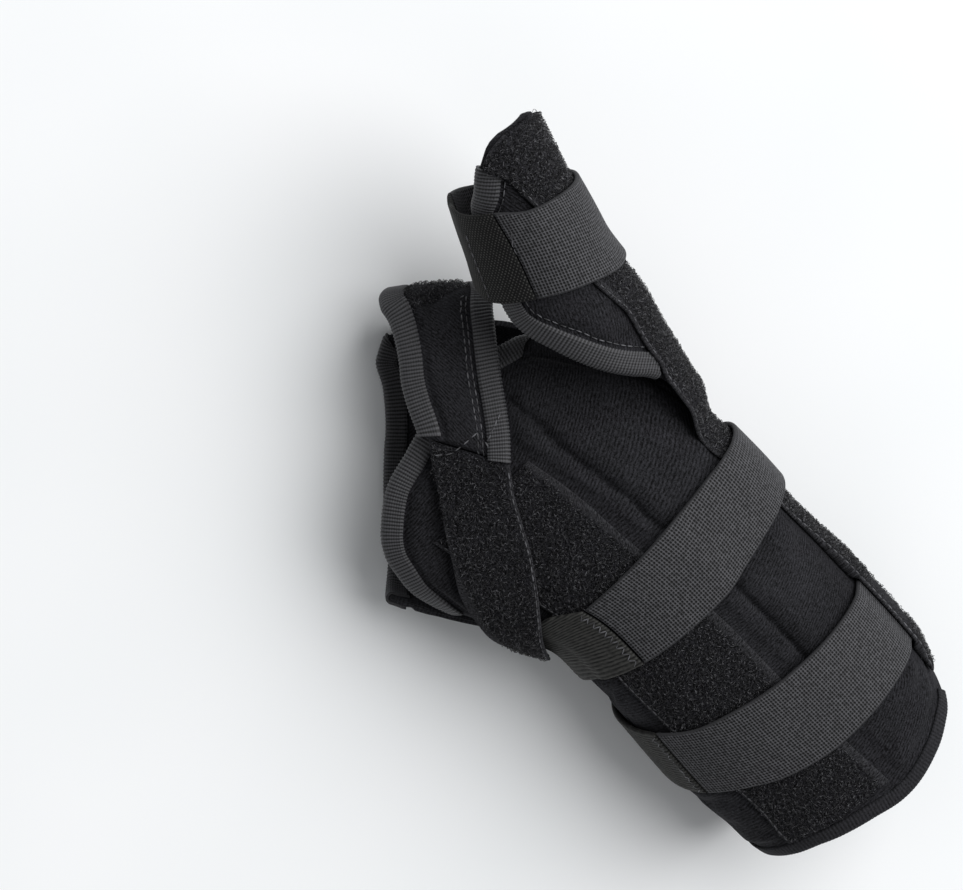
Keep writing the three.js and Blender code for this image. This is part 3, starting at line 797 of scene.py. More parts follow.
def pile_tree():
    """Loops of thread that stand on a ground cloth where its pile attribute is set."""
    numbers = {name: "Float" for name in ("Density", "Height", "Width", "Thread")}
    tree, given, result = new_tree("loop pile", {**numbers, "Seed": "Int", "Material": "Material"})
    where = add(tree, "GeometryNodeInputNamedAttribute", {"data_type": "FLOAT"}, {"Name": "pile"})
    density, half, back, top, root = (
        add(tree, "ShaderNodeMath", {"operation": "MULTIPLY"}, {0: given[name], 1: times})
        for name, times in (
            ("Density", where), ("Width", 0.5), ("Width", -0.5), ("Height", 2.0), ("Thread", -0.5)
        )
    )
    start, crest, end = (
        add(tree, "ShaderNodeCombineXYZ", links=links)
        for links in ({"X": back, "Z": root}, {"Y": back, "Z": top}, {"X": half, "Z": root})
    )
    spots = add(
        tree, "GeometryNodeDistributePointsOnFaces", {"distribute_method": "RANDOM"},
        {"Mesh": given["Geometry"], "Density": density, "Seed": given["Seed"]},
    )
    arch = add(
        tree, "GeometryNodeCurveQuadraticBezier",
        links={"Resolution": 3, "Start": start, "Middle": crest, "End": end},
    )
    thread = add(
        tree, "GeometryNodeCurvePrimitiveCircle", {"mode": "RADIUS"},
        {"Resolution": 3, "Radius": given["Thread"]},
    )
    loop = add(
        tree, "GeometryNodeCurveToMesh", links={"Curve": arch, "Profile Curve": thread, "Fill Caps": True}
    )
    lean = add(
        tree, "FunctionNodeRandomValue", {"data_type": "FLOAT_VECTOR"},
        {"Min": (-1.15, -0.7, 0), "Max": (1.15, 0.7, 6.283), "Seed": given["Seed"]},
    )
    turn = add(tree, "FunctionNodeEulerToRotation", links={0: lean})
    facing = add(
        tree, "FunctionNodeRotateRotation", {"rotation_space": "LOCAL"},
        {0: spots.outputs["Rotation"], 1: turn},
    )
    size = add(
        tree, "FunctionNodeRandomValue", {"data_type": "FLOAT"}, {2: 0.65, 3: 1.25, "Seed": given["Seed"]}
    )
    planted = add(
        tree, "GeometryNodeInstanceOnPoints",
        links={"Points": spots, "Instance": loop, "Rotation": facing, "Scale": size.outputs[1]},
    )
    return end_tree(tree, planted, given["Material"], result)


def stitch_tree():
    """Stitches of thread laid end to end along lines."""
    numbers = {name: "Float" for name in ("Pitch", "Length", "Thread")}
    tree, given, result = new_tree("stitches", {**numbers, "Material": "Material"})
    lines = add(tree, "GeometryNodeMeshToCurve", links={"Mesh": given["Geometry"]})
    spots = add(
        tree, "GeometryNodeCurveToPoints", {"mode": "LENGTH"}, {"Curve": lines, "Length": given["Pitch"]}
    )
    bead = add(tree, "GeometryNodeMeshUVSphere", links={"Segments": 6, "Rings": 4, "Radius": 1.0})
    reach = add(tree, "ShaderNodeMath", {"operation": "MULTIPLY"}, {0: given["Length"], 1: 0.5})
    size = add(
        tree, "ShaderNodeCombineXYZ", links={"X": given["Thread"], "Y": given["Thread"], "Z": reach}
    )
    stitch = add(tree, "GeometryNodeTransform", links={"Geometry": bead, "Scale": size})
    laid = add(
        tree, "GeometryNodeInstanceOnPoints",
        links={"Points": spots, "Instance": stitch, "Rotation": spots.outputs["Rotation"]},
    )
    return end_tree(tree, laid, given["Material"], result)


def rib_tree():
    """Ribs raised across tape or along a tab, by the attribute that counts millimetres from rib to rib."""
    tree, given, result = new_tree(
        "woven ribs", {"Pitch": "Float", "Depth": "Float", "Count By": "String", "Material": "Material"}
    )
    count, where = (
        add(tree, "GeometryNodeInputNamedAttribute", {"data_type": "FLOAT"}, {"Name": name})
        for name in (given["Count By"], "ribbed")
    )
    height = count
    for operation, by in (
        ("DIVIDE", given["Pitch"]), ("MULTIPLY", 2 * math.pi), ("SINE", 0.0),
        ("MULTIPLY", given["Depth"]), ("MULTIPLY", where),
    ):
        height = add(tree, "ShaderNodeMath", {"operation": operation}, {0: height, 1: by})
    normal = add(tree, "GeometryNodeInputNormal")
    offset = add(
        tree, "ShaderNodeVectorMath", {"operation": "SCALE"}, {"Vector": normal, "Scale": height}
    )
    moved = add(
        tree, "GeometryNodeSetPosition", links={"Geometry": given["Geometry"], "Offset": offset}
    )
    return end_tree(tree, moved, given["Material"], result)


def two_tone(tree, factor, dark, light, low=0.0, high=1.0):
    """Colour between two tones as a factor goes from low to high."""
    ramp = add(tree, "ShaderNodeValToRGB", links={"Fac": factor})
    for element, position, tone in zip(ramp.color_ramp.elements, (low, high), (dark, light)):
        element.position, element.color = position, (*tone, 1)
    return ramp.outputs["Color"]


def weave_wave(tree, direction, pitch_mm, waver=0.0):
    """A wave from 0 to 1 across the cloth, in a direction of its weave coordinates, shifted by a waver."""
    weave = add(tree, "ShaderNodeUVMap", {"uv_map": "weave"})
    way = [value * 2 * math.pi / (pitch_mm * MM) for value in direction]
    along = add(tree, "ShaderNodeVectorMath", {"operation": "DOT_PRODUCT"}, {0: weave, 1: (*way, 0)})
    phase = add(tree, "ShaderNodeMath", {"operation": "ADD"}, {0: along.outputs["Value"], 1: waver})
    sine = add(tree, "ShaderNodeMath", {"operation": "SINE"}, {0: phase})
    return add(tree, "ShaderNodeMath", {"operation": "MULTIPLY_ADD"}, {0: sine, 1: 0.5, 2: 0.5})


def fine_noise(tree, size_mm, detail=3.0):
    """Noise with grains of a size, fixed to the object."""
    place = add(tree, "ShaderNodeTexCoord").outputs["Object"]
    links = {"Vector": place, "Scale": 1 / (size_mm * MM), "Detail": detail}
    return add(tree, "ShaderNodeTexNoise", links=links).outputs["Fac"]


def drawn_noise(tree, long_mm, short_mm, turn):
    """Noise drawn out along one way of the weave, at an angle in degrees from its run."""
    weave = add(tree, "ShaderNodeUVMap", {"uv_map": "weave"})
    turned = add(
        tree, "ShaderNodeMapping", {"vector_type": "TEXTURE"},
        {
            "Vector": weave,
            "Rotation": (0, 0, math.radians(turn)),
            "Scale": (long_mm * MM, short_mm * MM, 1),
        },
    )
    links = {"Vector": turned, "Scale": 1.0, "Detail": 3.0}
    return add(tree, "ShaderNodeTexNoise", {"noise_dimensions": "2D"}, links).outputs["Fac"]


def blend(tree, *parts):
    """Sum of values, each taken at its own share."""
    total = 0.0
    for value, share in parts:
        total = add(
            tree, "ShaderNodeMath", {"operation": "MULTIPLY_ADD"}, {0: value, 1: share, 2: total}
        )
    return total


# Each material gives its colour, and where it has a relief also the relief's height, strength and depth.


def brushed_knit(tree, colours):
    """Warp-knit nylon laminated to foam and brushed: dull black with broken slanting ribs and pale lint.

    The ribs are drawn 0.95 mm apart, coarser than the cloth's own, so that they show.
    """
    lint = fine_noise(tree, 0.4, 4.0)
    streaks = drawn_noise(tree, 1.3, 0.42, -12)
    waver = blend(tree, (fine_noise(tree, 5.0, 1.0), 7.0))
    ribs = weave_wave(tree, (0.2, 0.98), 0.95, waver)
    wide = fine_noise(tree, 14.0, 2.0)
    tone = blend(tree, (streaks, 0.4), (lint, 0.5), (ribs, 0.1), (wide, 0.15))
    return two_tone(tree, tone, colours.knit_dark, colours.knit_light, 0.46, 0.78), tone, 0.5, 0.3


def pile_ground(tree, colours):
    """Ground cloth of the loop fastener: dark and matt between the loops, with a paler woven edge."""
    lint = fine_noise(tree, 0.5)
    fuzz = two_tone(tree, lint, colours.pile_dark, colours.knit_light, 0.4, 0.75)
    streaks = drawn_noise(tree, 0.35, 0.7, 0)
    woven = two_tone(tree, streaks, colours.tape_dark, colours.edge_light, 0.3, 0.7)
    edge = add(tree, "ShaderNodeAttribute", {"attribute_name": "selvage"}).outputs["Fac"]
    colour = add(tree, "ShaderNodeMix", {"data_type": "RGBA"}, {"Factor": edge, 6: fuzz, 7: woven})
    return colour.outputs[2], lint, 0.8, 0.4


def pile_thread(tree, colours):
    """Fine nylon filament of the loops: dark and uneven from loop to loop, with small bright glints painted
    into its colour as highlights.

    The loops are fewer and thicker than the cloth's own, so that they show.
    """
    # The lighter tone is partly random unevenness and partly painted highlight, the loops' glints.
    tone = fine_noise(tree, 0.8, 2.0)
    return (two_tone(tree, tone, colours.pile_dark, colours.pile_light_and_glint, 0.48, 0.75),)


def woven_webbing(tree, colours):
    """Plain-woven nylon webbing: grey threads, the holes between them painted dark as shade, a smooth edge
    and a faint gloss.

    The weave is drawn at 0.9 mm, a little coarser than the cloth, so that it shows.
    """
    warp = weave_wave(tree, (0.0, 1.0), 0.9)
    weft = weave_wave(tree, (1.0, 0.0), 0.9)
    # Painted shade: the colour is darkened at the holes of the weave.
    holes = add(tree, "ShaderNodeMath", {"operation": "MULTIPLY"}, {0: warp, 1: weft})
    threads = blend(tree, (holes, -1.0), (fine_noise(tree, 0.9), 0.8), (weft, -0.15))
    edge = add(tree, "ShaderNodeAttribute", {"attribute_name": "selvage"}).outputs["Fac"]
    tone = add(tree, "ShaderNodeMix", {"data_type": "FLOAT"}, {"Factor": edge, 2: threads, 3: 0.14})
    return two_tone(tree, tone, colours.webbing_dark, colours.webbing_light, 0.0, 0.42), tone, 0.5, 0.2


def ribbed_tape(tree, colours):
    """Grosgrain binding tape: close ribs of polyester with a soft gloss, a painted highlight on each rib and
    painted shade between the ribs.
    """
    # Painted light: this rib wave has the pitch and phase of the tape's raised ribs, so it lightens their
    # crests and darkens between them.
    ribs = weave_wave(tree, (1.0, 0.0), 1.05)
    threads = weave_wave(tree, (0.0, 1.0), 0.7)
    tone = blend(tree, (ribs, 0.75), (threads, 0.2), (fine_noise(tree, 0.6), 0.4))
    return two_tone(tree, tone, colours.tape_dark, colours.tape_rib_highlight, 0.3, 1.05), threads, 0.4, 0.15


def plain_tape(tree, colours):
    """Thin knitted tape of the forearm ends: black, matt and soft, with ribs that hardly show and a faint
    painted highlight on each rib.
    """
    # Painted light: this rib wave matches the raised ribs, so a fifth of the tone lightens their crests.
    ribs = weave_wave(tree, (1.0, 0.0), 1.05)
    tone = blend(tree, (ribs, 0.2), (fine_noise(tree, 0.5), 0.8))
    return two_tone(tree, tone, colours.knit_dark, colours.knit_light, 0.25, 0.85), tone, 0.4, 0.2


def hook_tape(tree, colours):
    """Back of hook tape: a stiff ribbed weave, near black and dull, with a painted highlight on each rib and
    painted shade between the ribs.
    """
    # Painted light: this rib wave has the pitch and phase of the tab's raised ribs, so it lightens their
    # crests and darkens between them.
    ribs = weave_wave(tree, (0.0, 1.0), 1.1)
    streaks = drawn_noise(tree, 1.6, 0.6, 0)
    tone = blend(tree, (ribs, 0.45), (streaks, 0.9))
    return two_tone(tree, tone, colours.hook_dark, colours.hook_rib_highlight, 0.35, 0.95), tone, 0.5, 0.2


def dotted_hook_tape(tree, colours):
    """Back of the thumb strap's hook tape: black, with the pale dots of its binding threads, and darker
    overall than the other tabs as painted shade.

    The dots are drawn 0.85 mm apart, a little coarser than the cloth's own, so that they show.
    """
    one, other = (weave_wave(tree, (0.8, way), 0.85) for way in (0.6, -0.6))
    dots = add(tree, "ShaderNodeMath", {"operation": "MULTIPLY"}, {0: one, 1: other})
    tone = blend(tree, (dots, 0.7), (fine_noise(tree, 1.1), 0.6))
    # Painted shade: the ramp starts high, so most of the tab takes the dark tone.
    return two_tone(tree, tone, colours.hook_dark, colours.dot_light, 0.5, 1.05), tone, 0.5, 0.2


def sewing_thread(tree, colours):
    """Bonded polyester thread: dark grey with a thin gloss."""
    tone = fine_noise(tree, 2.0, 1.0)
    return (two_tone(tree, tone, colours.thread_dark, colours.thread_light, 0.35, 0.65),)


def studio_paper(tree, colours):
    """Matt white paper of the table, with the least unevenness of tone."""
    tone = fine_noise(tree, 90.0, 1.0)
    return (two_tone(tree, tone, colours.paper_dark, colours.paper_light, 0.3, 0.7),)


DULL_SHEEN, COOL_SHEEN, WARM_SHEEN = (0.6, 0.6, 0.65), (0.7, 0.7, 0.75), (0.7, 0.68, 0.65)
# Maker, name, roughness, specular level, sheen and sheen colour.
FINISHES = {
    "knit": (brushed_knit, "brushed nylon knit", 0.95, 0.1, 0.06, DULL_SHEEN),
    "ground": (pile_ground, "loop pile ground", 0.95, 0.08, 0.04, DULL_SHEEN),
    "loops": (pile_thread, "nylon loop filament", 0.55, 0.35, 0.05, COOL_SHEEN),
    "webbing": (woven_webbing, "woven nylon webbing", 0.7, 0.2, 0.06, COOL_SHEEN),
    "tape": (ribbed_tape, "ribbed polyester tape", 0.55, 0.35, 0.08, COOL_SHEEN),
    "end_tape": (plain_tape, "thin knitted tape", 0.85, 0.15, 0.06, DULL_SHEEN),
    "hook": (hook_tape, "hook tape back", 0.75, 0.25, 0.06, WARM_SHEEN),
    # The thumb tab's finish is a darker copy of the hook tape, darkened as painted shade.
    "dotted_hook": (dotted_hook_tape, "dotted hook tape back with painted shade", 0.75, 0.2, 0.04, WARM_SHEEN),
    "thread": (sewing_thread, "polyester sewing thread", 0.5, 0.35, 0.05, COOL_SHEEN),
    "paper": (studio_paper, "matt white paper", 0.9, 0.1, 0.0, (1, 1, 1)),
}
MADE = {}


def finish_of(name):
    """The material of that name, made once."""
    if name not in MADE:
        maker, label, roughness, specular, sheen, sheen_tint = FINISHES[name]
        material = bpy.data.materials.new(label)
        material.use_nodes = True
        tree = material.node_tree
        tree.nodes.clear()
        colour, *relief = maker(tree, bpy.context.scene.orthosis_colours)
        given = {
            "Base Color": colour,
            "Roughness": roughness,
            "Specular IOR Level": specular,
            "IOR": 1.5,
            "Sheen Weight": sheen,
            "Sheen Roughness": 0.4,
            "Sheen Tint": (*sheen_tint, 1),
        }
        if relief:
            height, strength, depth_mm = relief
            links = {"Strength": strength, "Distance": depth_mm * MM, "Height": height}
            given["Normal"] = add(tree, "ShaderNodeBump", links=links)
        shader = add(tree, "ShaderNodeBsdfPrincipled", links=given)
        add(tree, "ShaderNodeOutputMaterial", links={"Surface": shader})
        MADE[name] = material
    return MADE[name]


def tree_of(maker):
    """The node tree of a maker, made once."""
    if maker.__name__ not in MADE:
        MADE[maker.__name__] = maker()
    return MADE[maker.__name__]


def ribbed(piece, pitch, depth, count_by, finish):
    """Raises ribs a pitch apart and a depth high on a piece, and gives it its finish."""
    values = {"Pitch": pitch / MM, "Depth": depth, "Count By": count_by, "Material": finish_of(finish)}
    piece.data = grown(piece, tree_of(rib_tree), values)


def place_piece(piece, slot, *nodes):
    """A piece rides on the one body and stands for its solids, which it hides; its slot is not used."""
    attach(piece, "root")
    if nodes:
        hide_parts(*nodes)
    return piece


# Soft relief


CLOTH_SETTINGS = {
    "quality": 6,
    "mass": 0.2,
    "tension_stiffness": 25,
    "compression_stiffness": 25,
    "bending_stiffness": 6,
    "use_pressure": True,
    "uniform_pressure_force": 4,
    "vertex_group_mass": "held",
    "pin_stiffness": 1,
}
CLOTH_FRAMES = 20
# The sheet is settled at ten times its size.
CLOTH_SCALE = 10 * MM


def settle(layout, step, pinned, swell, cap):
    """Lets a sheet of the layer swell as padded cloth between where it is held.

    Gives a function of a dict of places on the layer, for how far the cloth stands out there.
    """
    fine = np.linspace(layout.first, layout.last, 121)
    count = max(int(length_along(layout, fine)[-1] / step), 6)
    stations = np.linspace(layout.first, layout.last, count + 1)
    rows = max(int(width_at(layout, stations).max() / step), 6)
    share = np.linspace(0, 1, rows + 1)
    angle, along = across_at(layout, stations[:, None], share)
    points = layout.on(angle, along, layout.over(angle, along))
    i, k = np.meshgrid(np.arange(count), np.arange(rows), indexing="ij")
    a = i * (rows + 1) + k
    faces = np.stack([a, a + 1, a + rows + 2, a + rows + 1], axis=-1).reshape(-1, 4)
    corners = points.reshape(-1, 3)[faces]
    outward = np.cross(corners[:, 2] - corners[:, 0], corners[:, 3] - corners[:, 1])
    raised = layout.on(angle, along, layout.over(angle, along) + 1) - points
    if (outward * raised.reshape(-1, 3)[faces[:, 0]]).sum() < 0:
        faces = faces[:, ::-1]
    mesh = bpy.data.meshes.new("swelling")
    mesh.from_pydata(points.reshape(-1, 3) * CLOTH_SCALE, [], faces.tolist())
    sheet = new_object("swelling", mesh)
    held = sheet.vertex_groups.new(name="held")
    hold = pinned(angle, along, np.broadcast_to(share, angle.shape))
    for index, weight in enumerate(hold.ravel()):
        held.add([index], float(weight), "REPLACE")
    settings = sheet.modifiers.new("cloth", "CLOTH").settings
    for name, value in CLOTH_SETTINGS.items():
        setattr(settings, name, value)
    settings.shrink_min = -swell
    settings.effector_weights.gravity = 0
    scene = bpy.context.scene
    for number in range(1, CLOTH_FRAMES + 1):
        scene.frame_set(number)
    settled = sheet.evaluated_get(bpy.context.evaluated_depsgraph_get()).data
    moved = np.zeros(len(settled.vertices) * 3, np.float32)
    settled.vertices.foreach_get("co", moved)
    bpy.data.objects.remove(sheet)
    scene.frame_set(1)
    out = dot(moved.reshape(points.shape) / CLOTH_SCALE - points, unit(raised))
    out = np.clip(np.nan_to_num(out), -cap, cap)

    def rise(places):
        down = np.clip(places["run"] / places["length"], 0, 1) * count
        over = np.clip(places["across"] / places["width"], 0, 1) * rows
        i0, k0 = np.clip(down.astype(int), 0, count - 1), np.clip(over.astype(int), 0, rows - 1)
        s, t = smoothstep(down - i0, 0, 1), smoothstep(over - k0, 0, 1)
        near = out[i0, k0] * (1 - t) + out[i0, k0 + 1] * t
        far = out[i0 + 1, k0] * (1 - t) + out[i0 + 1, k0 + 1] * t
        return near * (1 - s) + far * s

    return rise


STRAPS_OVER = (
    (WRIST_STRAP, -75, 127),
    (WRIST_TAB, 128, 215),
    (FOREARM_STRAP, 6, 150),
    (FOREARM_TAB, 151, 215),
    (WEB_ROOT, -45, -34),
    (WEB_STRAP, -3, 85),
    (WEB_TAIL, 86, 192),
)


def under_straps(angle, along, margin):
    """1 where a strap lies over the sleeve, and 0 elsewhere, with a soft step at the strap's edges."""
    angle = np.where(angle > 220, angle - 360, angle)
    found = np.zeros(np.broadcast(angle, along).shape)
    for rows, first, last in STRAPS_OVER:
        low, high = read(rows, "low", angle) - margin, read(rows, "high", angle) + margin
        inside = between(along, low - 3, low, high, high + 3)
        found = np.maximum(found, inside * ((angle >= first - 2) & (angle <= last + 2)))
    return found


def under_thumb_strap(angle, along):
    """1 well under the thumb strap, and 0 elsewhere."""
    low, high = (read(THUMB_STRAP, name, angle) for name in ("low", "high"))
    return between(along, low + 3, low + 4, high - 4, high - 3)


def palm_loop_cover(angle, along):
    """1 under the loop panel and the radial strip, which are sewn down flat, and 0 elsewhere."""
    thumb = np.interp(along, PALM_STRIP["thumb_along"], PALM_STRIP["thumb_angle"])
    little = np.interp(along, PALM_STRIP["little_along"], PALM_STRIP["little_angle"])
    palm = between(angle, thumb - 5, thumb, little, little + 5) * (along > 0) * (along < 153)
    turned = np.where(angle > 180, angle - 360, angle)
    return np.maximum(palm, between(turned, -44, -38, 34, 40) * (along < 112))


def pressed(angle, along):
    """1 where a strap or a sewn loop strip keeps the padding down, and 0 elsewhere."""
    return np.maximum(under_straps(angle, along, 1), palm_loop_cover(angle, along))


# Sizes and colours


def length(name, description, size):
    """A length property with a default in millimetres."""
    return bpy.props.FloatProperty(
        name=name, description=description, default=size * MM, subtype="DISTANCE", unit="LENGTH"
    )


class OrthosisSizes(bpy.types.PropertyGroup):
    """Sizes of the fabric detail."""

    seam_depth: length("Pocket seam depth", "How deep the stay pocket's seam lies in the palm panel", 2.3)
    loop_height: length("Loop height", "How far the loops of the pile stand above their ground cloth", 0.95)
    loop_spacing: length("Loop spacing", "Usual distance between two loops of the pile", 0.74)
    loop_thread: length("Loop thread", "Radius of the thread of a loop, drawn thick enough to show", 0.065)
    tape_rib: length("Tape rib", "Distance from rib to rib of the binding tape", 1.05)
    tab_rib: length("Tab rib", "Distance from rib to rib of the hook tabs", 1.1)
    stitch_pitch: length("Stitch pitch", "Distance from one stitch to the next", 2.4)
    stitch_thread: length("Stitch thread", "Radius of the sewing thread, drawn thick enough to show", 0.2)


def colour(name, description, code):
    """A colour property with an sRGB hex value as its default."""
    return bpy.props.FloatVectorProperty(
        name=name, description=description, default=linear(code), subtype="COLOR", size=3, min=0, max=1
    )


class OrthosisColours(bpy.types.PropertyGroup):
    """Colours of the fabrics and of the table."""

    knit_dark: colour("Knit, dark", "Hollows of the brushed knit", "0b0b0c")
    knit_light: colour("Knit, light", "Lint of the brushed knit", "36363a")
    pile_dark: colour("Pile, dark", "Darkest loops and ground", "0a0a0b")
    # The lightest loop tone is partly a painted highlight, the loops' glints.
    pile_light_and_glint: colour("Pile, light", "Lightest loops", "78787c")
    # The dark webbing tone is painted shade in the holes between the threads.
    webbing_dark: colour("Webbing, dark", "Between the webbing's threads", "0c0c0d")
    webbing_light: colour("Webbing, light", "The webbing's threads", "4f4f52")
    # In the ribbed tape the dark tone is painted shade between the ribs and the light tone is a painted
    # highlight on them.
    tape_dark: colour("Tape, dark", "Between the tape's ribs", "0c0c0d")
    tape_rib_highlight: colour("Tape, light", "The tape's ribs", "464649")
    edge_light: colour("Woven edge, light", "Threads of the loop strips' woven edges", "3d3d40")
    # On the ribbed hook tabs the dark tone is painted shade between the ribs and the light tone is a painted
    # highlight on them.
    hook_dark: colour("Hook tape, dark", "Between the hook tape's ribs", "090909")
    hook_rib_highlight: colour("Hook tape, light", "The hook tape's ribs", "3c3c3a")
    dot_light: colour("Hook tape, dots", "Dots on the thumb strap's hook tape", "464644")
    thread_dark: colour("Thread, dark", "Sewing thread in shade", "2c2c2e")
    thread_light: colour("Thread, light", "Sewing thread in light", "646468")
    paper_dark: colour("Paper, dark", "Darkest parts of the table's paper", "f4f6f7")
    paper_light: colour("Paper, light", "Lightest parts of the table's paper", "f8f9fa")


# Operators


class ORTHOSIS_OT_panels(bpy.types.Operator):
    """Builds the padded palm and back panels"""

    bl_idname = "orthosis.panels"
    bl_label = "Palm and back panels"

    def execute(self, context):
        seam_depth = context.scene.orthosis_sizes.seam_depth / MM
        along = np.linspace(POCKET_SEAM["along"][0], POCKET_SEAM["along"][-1], 130)
        seam = on_sleeve(read(POCKET_SEAM, "angle", along), along, 0)

        def held(angle, along, share):
            edge = np.maximum(share < 0.03, share > 0.97)
            side = np.maximum(angle < 6, np.abs(angle - 176.6) < 4)
            return np.clip(np.maximum(np.maximum(edge, pressed(angle, along)), side), 0, 1)

        volar_swell = settle(VOLAR, 4.0, held, 0.03, 1.1)
        dorsal_swell = settle(DORSAL, 4.5, held, 0.02, 0.9)

        def volar_relief(places):
            angle, along = places["angle"], places["along"]
            away, which = seam_distance(on_sleeve(angle, along, 0), seam)
            groove = -seam_depth * (0.7 * bell(away, 0.8) + 0.3 * bell(away, 2.6))
            turns = which * 1.05
            pucker = 0.16 * np.sin(turns + 1.6 * np.sin(turns / 7)) * bell(away - 2.4, 2.2)
            shoulder = pucker + 0.7 * bell(away - 4.4, 3.0)
            sewn, strapped = palm_loop_cover(angle, along), under_straps(angle, along, 0)
            soft = np.minimum(volar_swell(places), 1.0) * (1 - pressed(angle, along))
            fade = between(along, 18, 28, 140, 150)
            return fade * (groove + shoulder * (1 - sewn) * (1 - strapped)) + soft

        def dorsal_relief(places):
            return dorsal_swell(places) * (1 - pressed(places["angle"], places["along"]))

        for name, layout, step, count, relief in (
            ("volar_panel", VOLAR, 0.5, 180, volar_relief),
            ("dorsal_panel", DORSAL, 1.0, 110, dorsal_relief),
        ):
            made = cloth(layout, step, count, (0.66, 0.62), relief)
            piece = mesh_object(name + "_padded", *made, finish_of("knit"))
            place_piece(piece, "knit", name)
        return {"FINISHED"}


class ORTHOSIS_OT_thumb_cover(bpy.types.Operator):
    """Builds the padded thumb cover"""

    bl_idname = "orthosis.thumb_cover"
    bl_label = "Thumb cover"

    def execute(self, context):
        def held(angle, along, share):
            edge = np.maximum(share < 0.04, share > 0.96)
            band = (along > 80) & (along < 118) | (along < 36) | (along > 128)
            back, front = (read(THUMB_STRIP_CUT, name, along) for name in ("back", "front"))
            strip = (angle > back - 4) & (angle < front + 4)
            return np.clip(edge + band + strip, 0, 1).astype(float)

        made = cloth(COVER, 1.1, 84, (1, 0.7), settle(COVER, 4.0, held, 0.03, 0.9))
        piece = mesh_object("thumb_cover_padded", *made, finish_of("knit"))
        place_piece(piece, "knit", "thumb_cover")
        return {"FINISHED"}


class ORTHOSIS_OT_web_strap(bpy.types.Operator):
    """Builds the padded strap that crosses the gap beside the thumb cover"""

    bl_idname = "orthosis.web_strap"
    bl_label = "Web strap"

    def execute(self, context):
        def held(angle, along, share):
            return np.maximum(share < 0.12, share > 0.88).astype(float)

        swell = settle(WEB, 3.0, held, 0.03, 0.7)

        def turned_over(angle, along):
            """How far past the fold line a place is, towards the loop side, in degrees."""
            return np.minimum(12 + 1.5 * (along - 165), 34) - angle

        def relief(places):
            past = turned_over(places["angle"], places["along"])
            return swell(places) - 0.5 * bell(past, 2.5) - 0.5 * smoothstep(past, 0, 4)

        points, faces, facts = cloth(WEB, 1.0, 44, (0.62, 0.62), relief)
        past = turned_over(facts["angle"], facts["along"])
        clear = edge_clear(WEB, facts)
        facts["pile"] = smoothstep(past, 0, 1) * (facts["level"] > 0.4) * (clear > 5.2)
        piece = mesh_object("web_strap_padded", points, faces, facts, finish_of("knit"), grain=-36)
        loops = plant_loops(piece, "web_strap_fold_loops", 16)
        place_piece(piece, "knit", "web_strap")
        place_piece(loops, "pile")
        return {"FINISHED"}


def edge_clear(layout, facts):
    """Distance of each point of a strap from the nearer of its edges."""
    wide = np.interp(facts["run"], *measured(layout))
    return np.minimum(facts["across"], wide - facts["across"])


def plant_loops(ground, name, seed):
    """Grows the loops of a pile on a ground cloth, as a piece of their own."""
    sizes = bpy.context.scene.orthosis_sizes
    values = {
        "Density": 1 / sizes.loop_spacing**2,
        "Height": sizes.loop_height,
        "Width": 1.2 * sizes.loop_height,
        "Thread": sizes.loop_thread,
        "Seed": seed,
        "Material": finish_of("loops"),
    }
    return new_object(name, grown(ground, tree_of(pile_tree), values))


def flat_size(layout):
    """Flat size that a strip was cut to, and its area, in metres."""
    run, width = measured(layout)
    flat = (float(width.max()) * MM, float(run[-1]) * MM)
    return flat, min(float(np.trapz(width, run)) * MM * MM, flat[0] * flat[1])


class ORTHOSIS_OT_loop_pile(bpy.types.Operator):
    """Builds the loop panels and strips with their pile"""

    bl_idname = "orthosis.loop_pile"
    bl_label = "Loop panels and strips"

    def execute(self, context):
        strips = (
            ("palm_loop_panel", PALM_LOOP, 1.3, 60, (1.7, 1.2), 11, "volar_panel_padded"),
            ("radial_loop_strip", RADIAL_LOOP, 1.3, 44, (0.2, 1.0), 12, "volar_panel_padded"),
            ("thumb_loop_strip", THUMB_LOOP, 1.5, 40, (0.2, 1.1), 13, "thumb_cover_padded"),
            ("web_strap_root", ROOT_LOOP, 1.3, 18, (0.2, 0.2), 14, "dorsal_panel_padded"),
            ("web_strap_tail", TAIL_LOOP, 1.1, 36, (1.1, 0.2), 15, "palm_loop_panel_ground"),
        )
        for name, layout, step, count, edges, seed, rest in strips:
            points, faces, facts = cloth(layout, step, count)
            run, width = measured(layout)
            wide = np.interp(facts["run"] / run[-1], np.linspace(0, 1, len(run)), width)
            front = edges[1]
            if name == "thumb_loop_strip":
                front = edges[1] * (1 - smoothstep(facts["along"], 117, 123))
            low, high = facts["across"] - edges[0], wide - facts["across"] - front
            facts["selvage"] = 1 - smoothstep(np.minimum(low, high), -0.3, 0.3)
            from_end = np.minimum(facts["run"], run[-1] - facts["run"])
            facts["pile"] = (facts["level"] > 0.4) * (from_end > 0.6) * (1 - facts["selvage"])
            if name in ("palm_loop_panel", "radial_loop_strip"):
                facts["pile"] *= under_straps(facts["angle"], facts["along"], -4) < 0.5
            if name == "web_strap_root":
                facts["pile"] *= facts["angle"] < -4
            if name == "thumb_loop_strip":
                facts["pile"] *= under_thumb_strap(facts["angle"], facts["along"]) < 0.5
                facts["pile"] *= facts["along"] < THUMB_PILE_END
            ground = mesh_object(name + "_ground", points, faces, facts, finish_of("ground"))
            pile = plant_loops(ground, name + "_loops", seed)
            place_piece(ground, "pile", name)
            place_piece(pile, "pile")
            flat, area = flat_size(layout)
        return {"FINISHED"}


